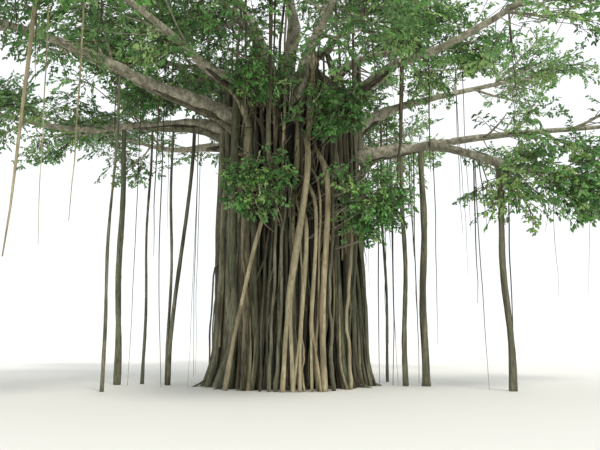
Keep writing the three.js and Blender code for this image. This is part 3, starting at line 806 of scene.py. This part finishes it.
# how far the middle of a mass is above its bough's tip
ABOVE = {
    "right": 0.1, "right_back": 1.7, "back_right": 1.2, "back": 1.6, "left_back": 1.5, "left": 0.85,
    "left_front": 0.6, "front_left": 0.8, "front_right": 0.6, "right_front": 1.2,
    "climbing": 0.25, "top": 1.2, "drooping": -0.5,
}
# name: centre, half sizes, branches, length of a spray
SHOOTS = {
    "shoot_top": ((-0.5, -3.3, 9.6), (1.8, 1.15, 1.35), 5, 1.15),
    "shoot_centre": ((1.15, -3.05, 8.6), (1.65, 1.0, 1.3), 5, 1.05),
    "shoot_left": ((-0.75, -3.25, 6.05), (1.35, 0.85, 1.25), 5, 1.0),
    "shoot_right": ((2.25, -2.9, 5.65), (1.75, 1.1, 1.5), 6, 1.1),
}
# how full each mass is, from 0 to 1: its sprays stand in clumps, and some of the crown is more open
FULLNESS = {
    "right": 0.75, "right_back": 0.38, "back_right": 0.28, "back": 0.5, "right_front": 0.46,
    "front_right": 0.78, "left_front": 0.95, "left": 0.95, "left_back": 0.4, "drooping": 0.9,
    "climbing_1": 0.57, "climbing_2": 0.45, "climbing_5": 0.78, "climbing_6": 0.74, "top_2": 0.54,
    "shoot_top": 0.62, "shoot_centre": 0.64, "shoot_left": 0.56, "shoot_right": 0.62,
}
USUAL_FULLNESS = 0.88
# how many leafy branches grow along a bough before its mass
ALONG_BOUGH = {"drooping": 70, "left": 60, "left_front": 70}
USUALLY_ALONG_BOUGH = 10
# heights between which a mass has its finest sprays, where the sky shows over or under it
SPRAY_HEIGHTS = {"right": (0, 8.1), "right_back": (11.2, 99)}
ANY_HEIGHT = (0, 99)
CLUMP_SIZE = 0.85
SHOOT_CLUMP_SIZE = 0.4
SUCKERS = 36
SUCKER_THICK = 0.022
FIRST_MASS_SEED = 300
FIRST_SHOOT_SEED = 400
FINER_SEEDS = 500
SHOOT_THICK = 0.07
SHOOT_START = 1.5
JOINT_GAP = 0.00035
STEM_STEPS = 3
SPRAY_WIDTH = 0.66
SPRAY_TRIES = (1, 0.78, 0.6)
SPRAY_PLACES = (0.32, 0.48, 0.62, 0.74, 0.85, 0.94, 1.0)
SPRAY_SIZES = (0.42, 0.7)
SHORTEST_BRANCH = 0.25
THINNEST_BRANCH = 0.026
BRANCH_REACH = 0.58
LEAF_CLEARANCE = 0.025
TRUNK_CLEARANCE = 0.07
TRUNK_REACH = 3.3

spaces = []
for i, bough in enumerate(boughs):
    kind = bough.name.rstrip("_123456")
    ahead, half, branches, spray = SPACES.get(kind, SPACES["lower"])
    tip = bough.solid_points[-1]
    centre = tip + polar(degrees(atan2(tip[1], tip[0])), ahead, ABOVE[kind])
    axes = np.array((direction(bough.heading, 0), direction(bough.heading + 90, 0), UP))
    spaces.append(SimpleNamespace(
        name=bough.name, node="foliage_" + bough.name, centre=centre, half=np.array(half), axes=axes,
        seed=FIRST_MASS_SEED + i, branches=branches, spray=spray, bough=bough))
for i, (name, (centre, half, branches, spray)) in enumerate(SHOOTS.items()):
    spaces.append(SimpleNamespace(
        name=name, node=name, centre=np.array(centre), half=np.array(half), axes=np.eye(3),
        seed=FIRST_SHOOT_SEED + i, branches=branches, spray=spray, bough=None))
space_centres = np.array([space.centre for space in spaces])
space_frames = np.array([space.axes / space.half[:, None] for space in spaces])


# how far it is from a point to the edge of the space
def room_ahead(k, point, along):
    p, d = space_frames[k] @ (point - space_centres[k]), space_frames[k] @ along
    a, b, c = d @ d, 2 * p @ d, p @ p - 1
    square = b * b - 4 * a * c
    return (-b + sqrt(square)) / (2 * a) if square > 0 else 0


# whether the points lie in the space, and nearer to its middle than to that of any other
def owns(k, points):
    offsets = np.asarray(points)[:, None] - space_centres
    away = norm(np.einsum("nij,pnj->pni", space_frames, offsets), axis=2)
    own = away[:, k].copy()
    away[:, k] = np.inf
    return bool(np.all((own <= 1) & (away.min(axis=1) > own + 0.05)))


limbs = boughs + roots
stretch_from = np.vstack([limb.solid_points[:-1] for limb in limbs])
stretch_along = np.vstack([np.diff(limb.solid_points, axis=0) for limb in limbs])
stretch_square = (stretch_along**2).sum(axis=1)
stretch_width = np.concatenate([limb.solid_radii[:-1] for limb in limbs])


# how far the straight line from a to b passes from each straight stretch of the limbs
def stretch_distances(a, b):
    u, v, w = b - a, stretch_along, a - stretch_from
    uu, uv, vv, uw, vw = u @ u, v @ u, stretch_square, w @ u, (v * w).sum(axis=1)
    flat = uu * vv - uv * uv
    s = np.where(flat > 1e-6 * uu * vv, np.clip((uv * vw - vv * uw) / np.maximum(flat, 1e-12), 0, 1), 0)
    t = np.clip((uv * s + vw) / vv, 0, 1)
    s = np.clip((uv * t - uw) / uu, 0, 1)
    return norm(w + u * s[:, None] - v * t[:, None], axis=1)


def near_trunk(point, thick):
    reach = hypot(point[0], point[1])
    if point[2] >= DOME_TOP + thick or reach > TRUNK_REACH + thick:
        return False
    face = face_radius(atan2(point[1], point[0]), min(max(point[2], 0.02), DOME_TOP - 0.05))
    return reach < face + TRUNK_CLEARANCE + thick


def clear_of_limbs(a, b, thick):
    if any(near_trunk(mix(a, b, t), thick) for t in (0.25, 0.5, 0.75, 1)):
        return False
    return bool(np.all(stretch_distances(a, b) > thick + stretch_width + LEAF_CLEARANCE))


def side_and_over(along):
    side = unit(np.cross(along, UP))
    return side, np.cross(side, along)


def bent(along, sideways, upwards):
    side, over = side_and_over(along)
    return unit(along * cos(sideways) + side * sin(sideways) + over * sin(upwards))


def off_stem(space, ahead, lean, turn):
    side, over = side_and_over(ahead)
    half = space.half
    return unit(
        ahead * cos(lean) * half[0] + side * sin(lean) * cos(turn) * half[1]
        + over * sin(lean) * sin(turn) * half[2])


def turned(v, axis, angle):
    return (v * cos(angle) + np.cross(axis, v) * sin(angle)
            + axis * (axis @ v) * (1 - cos(angle)))


def fitted_spray(k, root, along, draw, size=1.0):
    hanging = bent(along, draw(-0.25, 0.25), draw(-0.4, 0.15))
    across = turned(unit(np.cross(hanging, UP)), hanging, draw(-1, 1))
    full = spaces[k].spray * draw(0.85, 1.1) * size
    for share in SPRAY_TRIES:
        length = full * share
        tip = root + hanging * length
        edges = [mix(root, tip, 0.5) + across * hand * SPRAY_WIDTH * length / 2 for hand in (-1, 1)]
        if not owns(k, (tip, *edges)):
            continue
        start = mix(root, tip, 0.1)
        if all(clear_of_limbs(a, b, length * 0.06) for a, b in ((start, tip), edges)):
            return root, hanging, across, length, k
    return None


def finer_branches(k, stem, branches, thick, draw):
    space, bough = spaces[k], spaces[k].bough
    longest = space.spray * (1.3 if bough else 2)
    found = []

    def try_branch(place, way, width, least=0.35, most=0.8):
        reach = min(room_ahead(k, place, way) * draw(least, most), longest)
        tip = place + way * reach
        if reach > SHORTEST_BRANCH and owns(k, (tip,)) and clear_of_limbs(mix(place, tip, 0.15), tip, 0.02):
            found.append((place, tip, width))

    for foot, tip, width in branches:
        for hand in (1, -1, 1, -1):
            place = mix(foot, tip, draw(0.2, 0.95))
            way = bent(unit(tip - foot), hand * draw(0.4, 1.3), draw(-0.8, 0.8))
            try_branch(place, way, width * 0.5)
    ahead = unit(stem[-1] - stem[0])
    for n in range(space.branches * (2 if bough else 4)):
        place = point_along(stem, draw(0.05 if bough else 0.5, 1))
        way = off_stem(space, ahead, draw(0.3, 2.2), 2 * pi * draw())
        try_branch(place, way, thick * 0.6)
    if bough:
        first, widest = (0, 2.8) if space.name in ALONG_BOUGH else (0.4, 2.2)
        for n in range(ALONG_BOUGH.get(space.name, USUALLY_ALONG_BOUGH)):
            place = point_along(bough.solid_points, draw(first, 1))
            way = off_stem(space, ahead, draw(0.5, widest), 2 * pi * draw())
            try_branch(place, way, thick, 0.5, 0.85)
        return found
    # suckers grow straight out of the trunk's face to every part of a shoot's space
    for n in range(SUCKERS):
        inside = unit(np.array([draw() - 0.5 for axis in range(3)])) * draw() ** 0.4
        tip = space.centre + inside * space.half
        heading, low = atan2(tip[1], tip[0]), tip[2] - 0.3
        foot = polar(degrees(heading), face_radius(heading, low) - 0.06, low)
        if low < SHOULDER and owns(k, (tip,)) and clear_of_limbs(mix(foot, tip, 0.3), tip, 0.02):
            found.append((foot, tip, SUCKER_THICK))
    return found


def grow_mass(k, stem, stem_radii):
    space = spaces[k]
    draw = seeded_draws(space.seed)
    thick = max(stem_radii[-1] * 0.7, THINNEST_BRANCH)
    ahead = unit(stem[-1] - stem[0])
    branches, sprays = [], []
    for n in range(space.branches):
        t = n / (space.branches - 1)
        foot = point_along(stem, mix(0.14, 0.96, t))
        along = off_stem(space, ahead, mix(1.3, 0.5, t), n * GOLDEN_ANGLE + draw(-0.4, 0.4))
        tip = foot + along * room_ahead(k, foot, along) * BRANCH_REACH
        if not owns(k, (tip,)) or not clear_of_limbs(foot, tip, thick):
            continue
        branches.append((foot, tip, thick))
        sprays.append(fitted_spray(k, tip - along * thick, along, draw))
        place = mix(foot, tip, draw(0.35, 0.5))
        sprays.append(fitted_spray(k, place, bent(along, draw(0.7, 1.2), 0.3), draw))
        place = mix(foot, tip, draw(0.65, 0.85))
        sprays.append(fitted_spray(k, place, bent(along, -draw(0.7, 1.2), 0), draw))
    finer = seeded_draws(space.seed + FINER_SEEDS)
    gap_level = 0.95 - 0.9 * FULLNESS.get(space.name, USUAL_FULLNESS)
    clump_size = CLUMP_SIZE if space.bough else SHOOT_CLUMP_SIZE
    lowest, highest = SPRAY_HEIGHTS.get(space.name, ANY_HEIGHT)
    twiggy = finer_branches(k, stem, branches, thick, finer)
    twiggy = [row for row in twiggy if lowest - 0.3 < row[1][2] < highest + 0.3]
    for foot, tip, width in branches + twiggy:
        along = unit(tip - foot)
        for n, t in enumerate(SPRAY_PLACES):
            hand = (1, -1)[n % 2] if t < 1 else 0
            way = bent(along, hand * finer(0.4, 1.2), finer(-0.4, 0.5))
            place = mix(foot, tip, t)
            if not lowest < place[2] < highest:
                continue
            if not space.bough:
                way = unit(way + DOWN * finer(0.1, 1.1))
            clump = 0.5 + noise.noise(Vector(place + way * 0.3) / clump_size)
            if clump + finer(-0.12, 0.12) < gap_level:
                continue
            size = finer(*SPRAY_SIZES) * (1 if space.bough else finer(0.6, 1.2))
            sprays.append(fitted_spray(k, place, way, finer, size))
    return branches, twiggy, [spray for spray in sprays if spray is not None]


def stem_of(space):
    if space.bough:
        points, radii = space.bough.solid_points, space.bough.solid_radii
        ahead = unit(points[-1] - points[-2])
        start = points[-1] + ahead * JOINT_GAP
        end = space.centre + space.axes[0] * space.half[0] * 0.42 + UP * space.half[2] * 0.1
        return (start, end, ahead, unit(end - start)), radii[-1] * 0.96, 0.4
    centre = space.centre
    bearing = degrees(atan2(centre[1], centre[0]))
    start = polar(bearing, SHOOT_START, min(centre[2] - 0.5, SHOULDER))
    end = centre.copy()
    end[0] *= 1 + 0.35 * space.half[0] / abs(end[0])
    return (start, end, direction(bearing, 25), unit(end - start)), SHOOT_THICK, 0.5


def crooked(foot, tip, thick, count):
    t = np.linspace(0, 1, count)[:, None]
    stray = np.cumsum(random.normal(0, 1, (count, 3)), axis=0)
    stray -= mix(stray[0], stray[-1], t)
    length = norm(tip - foot)
    sag = DOWN * np.sin(pi * t) * length * 0.04
    return mix(foot, tip, t) + stray * length * 0.012 + sag, thick * np.linspace(1.15, 0.4, count), 0


BRANCH_STOUTNESS = 1.4
STEM_POINTS = 21
BRANCH_POINTS = 9
THIN_POINTS = 6
stout_wood, thin_wood, sprays, stem_places = [], [], [], {}
for k, space in enumerate(spaces):
    stem_places[space.name] = len(stout_wood)
    ends, thick, taper = stem_of(space)
    stem = limb_points(*ends, STEM_STEPS, 0, 0)
    branches, twiggy, grown = grow_mass(k, stem, thick * np.linspace(1, taper, STEM_STEPS + 1))
    fine_stem = limb_points(ends[0] - ends[2] * 0.1, *ends[1:], STEM_POINTS - 1, 0, 0)
    stout_wood.append((fine_stem, thick * np.linspace(1.04, taper, STEM_POINTS), 0))
    stout_wood += [
        crooked(foot, tip, width * BRANCH_STOUTNESS, BRANCH_POINTS) for foot, tip, width in branches]
    thin_wood += [crooked(*branch, THIN_POINTS) for branch in twiggy]
    sprays += grown

branch_piece = strands_to_mesh("branches", stout_wood, [bough_bark], sides=10)
add_lumps(branch_piece, size=0.25, depth=0.03)
ride_as(branch_piece, "bark")
thin_piece = strands_to_mesh("thin_branches", thin_wood, [bough_bark], sides=6)
ride_as(thin_piece, "bark")

# Hanging strings
# Thin young roots that hang free from the boughs and from the branches inside the foliage. Few have
# reached the ground, and the stoutest hang high up, before the trunk and the right bough.
STRING_COUNT = 80
STRING_STEPS = 14
STRING_THICK = (0.009, 0.026)
STRING_HEIGHTS = (4, 12)
# the share of its height that a string hangs down, less in front of the trunk, and how often another
# one reaches the ground, where it goes on a little deeper and is cut
STRING_DROPS = (0.12, 0.7)
FRONT_DROPS = (0.12, 0.35)
FRONT = -3
GROUNDED_SHARE = 0.25
GROUNDED_DROP = 1.02
# a bough bears strings from this one of its points on, and this many times as often as a branch
FIRST_BEARING_POINT = 12
BOUGH_WEIGHT = 3
PALE_STRING, BROWN_STRING = range(2)
# three at the front left: how far along the stem of the mass there, drop, drift to the side, thickness
ROPES = ((0.82, 7.3, -0.5, 0.05), (0.78, 7.0, 0.1, 0.018), (0.62, 6.2, 0, 0.025))
# stouter ones high up, before the trunk and the right bough: X, Y, height of the end, thickness
HIGH_ROPES = (
    (-0.5, -4.0, 6.9, 0.06), (-0.3, -3.9, 7.5, 0.032), (-1.3, -3.7, 7.2, 0.035), (1.9, -3.3, 7.4, 0.034),
    (3.75, -0.95, 6.6, 0.075), (4.6, -1.1, 6.9, 0.03),
)
HIGH_BRANCHES = (10.2, 12.6)
# a curtain of them under the right bough: how far along it, how far they hang down, thickness
CURTAIN = (
    (0.36, 7.7, 0.024), (0.41, 6.3, 0.015), (0.47, 7.7, 0.028), (0.62, 5.6, 0.018), (0.66, 7.7, 0.022),
    (0.82, 6.6, 0.016),
)


def hanging_string(top, drop, thick, finish, aside=0.0):
    t = np.linspace(0, 1, STRING_STEPS)[:, None]
    drift = np.cumsum(random.normal(0, 0.03, (STRING_STEPS, 3)), axis=0) * np.array((1, 1, 0)) * t
    drift[:, 0] += aside * t[:, 0]
    return top + DOWN * drop * t + drift, thick * (1 - 0.7 * t[:, 0] ** 2), finish


hung = []
front_stem = stout_wood[stem_places["front_left"]][0]
for at, drop, aside, thick in ROPES:
    hung.append(hanging_string(point_along(front_stem, at), drop, thick, PALE_STRING, aside))
high_wood = np.vstack([points for points, *_ in stout_wood + thin_wood])
low, high = HIGH_BRANCHES
high_wood = high_wood[(high_wood[:, 2] > low) & (high_wood[:, 2] < high)]
for x, y, low, thick in HIGH_ROPES:
    top = high_wood[int(np.argmin(np.hypot(high_wood[:, 0] - x, high_wood[:, 1] - y)))]
    hung.append(hanging_string(top, top[2] - low, thick, BROWN_STRING))
for at, drop, thick in CURTAIN:
    top = point_along(by_name["right"].points, at)
    hung.append(hanging_string(top, drop, thick, BROWN_STRING))
bearers = [bough.points[FIRST_BEARING_POINT:] for bough in lower + [drooping]] * BOUGH_WEIGHT
low, high = STRING_HEIGHTS
bearers += [points for points, *_ in stout_wood if low < points[0][2] < high]
for i in range(STRING_COUNT):
    top = point_along(bearers[int(random.integers(len(bearers)))], between(0.1, 1.0))
    in_front = top[1] <= FRONT
    grounded = not in_front and random.random() < GROUNDED_SHARE
    drop = top[2] * (GROUNDED_DROP if grounded else between(*(FRONT_DROPS if in_front else STRING_DROPS)))
    hung.append(hanging_string(top, drop, between(*STRING_THICK), BROWN_STRING))
string_piece = strands_to_mesh("hanging_strings", hung, [root_bark, strand_finishes[2]], sides=6)
cut_at_ground(string_piece)
ride_as(string_piece, "free_root")

# Twigs
# Each spray is a drooping main twig of thin brown wood that grows out of its branch, with side twigs
# to both sides, longest near the middle.
TWIG_SPACING = 0.17
TWIG_WIDTH = 0.0085
MAIN_TWIG_WIDTH = 0.016
MAIN_TWIG_REACH = 0.94
SIDE_TWIG_LEAN = (0.55, 1.15)
SIDE_TWIG_SIZES = (0.6, 1.15)
DROOP = 0.1
MOST_TRIANGLES = 190000
root, ahead, across, length, mass_of_spray = (np.array(column) for column in zip(*sprays))
face_up = np.cross(ahead, across)
face_up *= np.sign(face_up[:, 2:3] + 1e-9)


def along_spray(index, t):
    reach = length[index] * MAIN_TWIG_REACH * t
    return root[index] + ahead[index] * reach[:, None] + DOWN * (DROOP * length[index] * t**2)[:, None]


def counted(counts):
    index = np.repeat(np.arange(len(counts)), counts)
    return index, np.arange(len(index)) - np.repeat(np.cumsum(counts) - counts, counts)


twig_count = np.maximum(np.round(length / TWIG_SPACING).astype(int), 4)
spray_of_side, number = counted(twig_count)
share = (number + between(0.2, 0.8, len(number))) / twig_count[spray_of_side]
hand = np.where(number % 2, 1, -1)
half_width = SPRAY_WIDTH / 2 * (1.3 - np.abs(2 * share - 0.85)) * between(*SIDE_TWIG_SIZES, len(number))
lean = between(*SIDE_TWIG_LEAN, len(number))[:, None]
side_way = unit(
    ahead[spray_of_side] * np.cos(lean) + across[spray_of_side] * hand[:, None] * np.sin(lean)
    + face_up[spray_of_side] * random.normal(0, 0.3, (len(number), 1)) + DOWN * 0.1)
side_from = along_spray(spray_of_side, share)
side_to = side_from + side_way * (length[spray_of_side] * half_width)[:, None]

every = np.arange(len(sprays))
middle = along_spray(every, np.full(len(sprays), 0.5))
end = along_spray(every, np.full(len(sprays), 1.0))
twig_from = np.vstack((root, middle, side_from))
twig_to = np.vstack((middle, end, side_to))
twig_wide = np.concatenate((
    np.full(len(sprays), MAIN_TWIG_WIDTH), np.full(len(sprays), MAIN_TWIG_WIDTH * 0.7),
    np.full(len(side_from), TWIG_WIDTH)))


def mesh_piece(name, corners, faces, finishes, finish_of):
    count, per = corners.shape[:2]
    triangles = (faces[None] + (np.arange(count) * per)[:, None, None]).reshape(-1, 3)
    mesh = bpy.data.meshes.new(name)
    mesh.from_pydata(corners.reshape(-1, 3), [], triangles)
    piece = add_piece(name, mesh, finishes)
    mesh.polygons.foreach_set("material_index", np.repeat(finish_of, len(faces)).astype(np.int32))
    return piece


# a twig is a slim pyramid, and the first half of a main twig reaches on inside the second
TWIG_OVERLAP = 0.8
TWIG_FACES = np.array(((0, 1, 3), (1, 2, 3), (2, 0, 3), (0, 2, 1)))
twig_to[:len(sprays)] += (middle - root) * TWIG_OVERLAP
twig_way = unit(twig_to - twig_from)
twig_side = unit(np.cross(twig_way, np.array((0.3, 0.2, 1.0))))
twig_over = np.cross(twig_way, twig_side)
ring = []
for corner in range(3):
    angle = corner * 2 * pi / 3
    offset = twig_side * cos(angle) + twig_over * sin(angle)
    ring.append(twig_from + offset * twig_wide[:, None])
twig_corners = np.stack((*ring, twig_to), axis=1)
twig_bark = bark_finish(
    "twig bark", (0.06, 0.045, 0.028), (0.17, 0.13, 0.08), (0.12, 0.12, 0.06), relief=0.003, stretch=1)
per_piece = MOST_TRIANGLES // len(TWIG_FACES)
for n, first in enumerate(range(0, len(twig_corners), per_piece)):
    chosen = twig_corners[first:first + per_piece]
    piece = mesh_piece(f"twigs_{n + 1}", chosen, TWIG_FACES, [twig_bark], np.zeros(len(chosen)))
    ride_as(piece, "bark")

# Leaves
# Small pointed oval leaves, folded a little along the middle, dark and glossy above and paler below.
# They crowd along the side twigs and the tip of each spray, which has the green of its own age. On the
# masses in the light on the right more sprays have the lighter greens, as painted light.
LEAF_SPACING = 0.05
LEAF_LENGTH = 0.13
LEAF_WIDTH = 0.58
SHOOT_LEAVES = 0.8
# from where on leaves grow, along a side twig and along the main one
LEAVES_FROM = 0.18
TIP_LEAVES_FROM = 0.78
LEAFY_SHARE = 0.85
LEAF_LEAN = (0.4, 1.3)
LEAF_SIZES = (0.7, 1.2)
LEAF_SHAPE = np.array((
    (0.0, 0.0, 0.0), (0.28, 0.46, 0.12), (0.72, 0.4, 0.08), (0.28, -0.46, 0.12), (0.72, -0.4, 0.08),
    (1.1, 0.0, -0.08)))
LEAF_FACES = np.array(((0, 2, 1), (0, 5, 2), (0, 3, 4), (0, 4, 5)))

bearer_from = np.vstack((side_from, along_spray(every, np.full(len(sprays), TIP_LEAVES_FROM))))
bearer_to = np.vstack((side_to, end))
bearer_spray = np.concatenate((spray_of_side, every))
bearer_length = norm(bearer_to - bearer_from, axis=1)
on_shoot = np.array([space.bough is None for space in spaces])[mass_of_spray]
leaf_scale = np.where(on_shoot, SHOOT_LEAVES, 1)
spacing = LEAF_SPACING * leaf_scale[bearer_spray]
leaf_count = np.maximum(np.round(bearer_length * LEAFY_SHARE / spacing).astype(int), 3)
twig_of_leaf, number = counted(leaf_count)
place = mix(LEAVES_FROM, 1.0, (number + between(0, 0.6, len(number))) / leaf_count[twig_of_leaf])
leaf_root = mix(bearer_from[twig_of_leaf], bearer_to[twig_of_leaf], place[:, None])
spray_of_leaf = bearer_spray[twig_of_leaf]
many = len(leaf_root)
way = unit(bearer_to - bearer_from)[twig_of_leaf]
facing = face_up[spray_of_leaf]
hand = np.where(number % 2, 1, -1) * between(*LEAF_LEAN, many)
way = unit(way + np.cross(way, facing) * hand[:, None] + random.normal(0, 0.3, (many, 3)) + DOWN * 0.3)
facing = facing + random.normal(0, 0.6, (many, 3)) + UP * 0.3
breadth = unit(np.cross(facing, way))
facing = np.cross(way, breadth)
leaf_size = (LEAF_LENGTH * leaf_scale[spray_of_leaf] * between(*LEAF_SIZES, many))[:, None, None]
local = LEAF_SHAPE * np.array((1, LEAF_WIDTH, 1))
leaf_corners = leaf_root[:, None] + leaf_size * (
    way[:, None] * local[:, 0, None] + breadth[:, None] * local[:, 1, None]
    + facing[:, None] * local[:, 2, None])


def leaf_finish(name, above, below):
    finish, tree, shader = new_finish(name)
    place = add_node(tree, "TexCoord", {}).outputs["Object"]
    mottle = add_node(tree, "TexNoise", {"Vector": place, "Scale": 14}).outputs["Fac"]
    upper = blend(tree, mottle, *[(*[share * c for c in above], 1) for share in (0.75, 1.25)])
    behind = add_node(tree, "NewGeometry", {}).outputs["Backfacing"]
    fill_inputs(shader, {
        "Base Color": blend(tree, behind, upper, (*below, 1)), "Roughness": 0.38,
        "Specular IOR Level": 0.4})
    return finish


# name, colour above and below, and its share on most masses and on those in the light on the right,
# where the lighter greens get a larger share as painted light
LEAF_AGES = (
    ("deep green leaf", (0.05, 0.15, 0.036), (0.105, 0.215, 0.07), 0.25, 0.08),
    ("green leaf", (0.09, 0.245, 0.058), (0.15, 0.295, 0.1), 0.38, 0.29),
    ("fresh leaf", (0.145, 0.345, 0.078), (0.215, 0.395, 0.13), 0.28, 0.37),
    ("young leaf", (0.28, 0.455, 0.12), (0.34, 0.5, 0.18), 0.09, 0.26),
)
leaf_finishes = [leaf_finish(*row[:3]) for row in LEAF_AGES]
MOST_AGES, SUNLIT_AGES = ([row[i] for row in LEAF_AGES] for i in (3, 4))
# masses in the light on the right, whose sprays get more of the lighter greens as painted light
SUNLIT = (
    "right", "right_back", "back_right", "right_front", "drooping", "climbing_1", "climbing_6", "top_1")
in_sun = np.array([space.name in SUNLIT for space in spaces])[mass_of_spray]
finish_of_spray = np.where(
    in_sun, random.choice(4, len(sprays), p=SUNLIT_AGES), random.choice(4, len(sprays), p=MOST_AGES))
mass_of_leaf = mass_of_spray[spray_of_leaf]
triangles_in = np.bincount(mass_of_leaf) * len(LEAF_FACES)
batches = [[]]
for k in range(len(spaces)):
    if triangles_in[batches[-1] + [k]].sum() > MOST_TRIANGLES:
        batches.append([])
    batches[-1].append(k)
for n, batch in enumerate(batches):
    chosen = np.isin(mass_of_leaf, batch)
    finish_of = finish_of_spray[spray_of_leaf[chosen]]
    piece = mesh_piece(f"leaves_{n + 1}", leaf_corners[chosen], LEAF_FACES, leaf_finishes, finish_of)
    ride_as(piece, "foliage", *[spaces[k].node for k in batch])
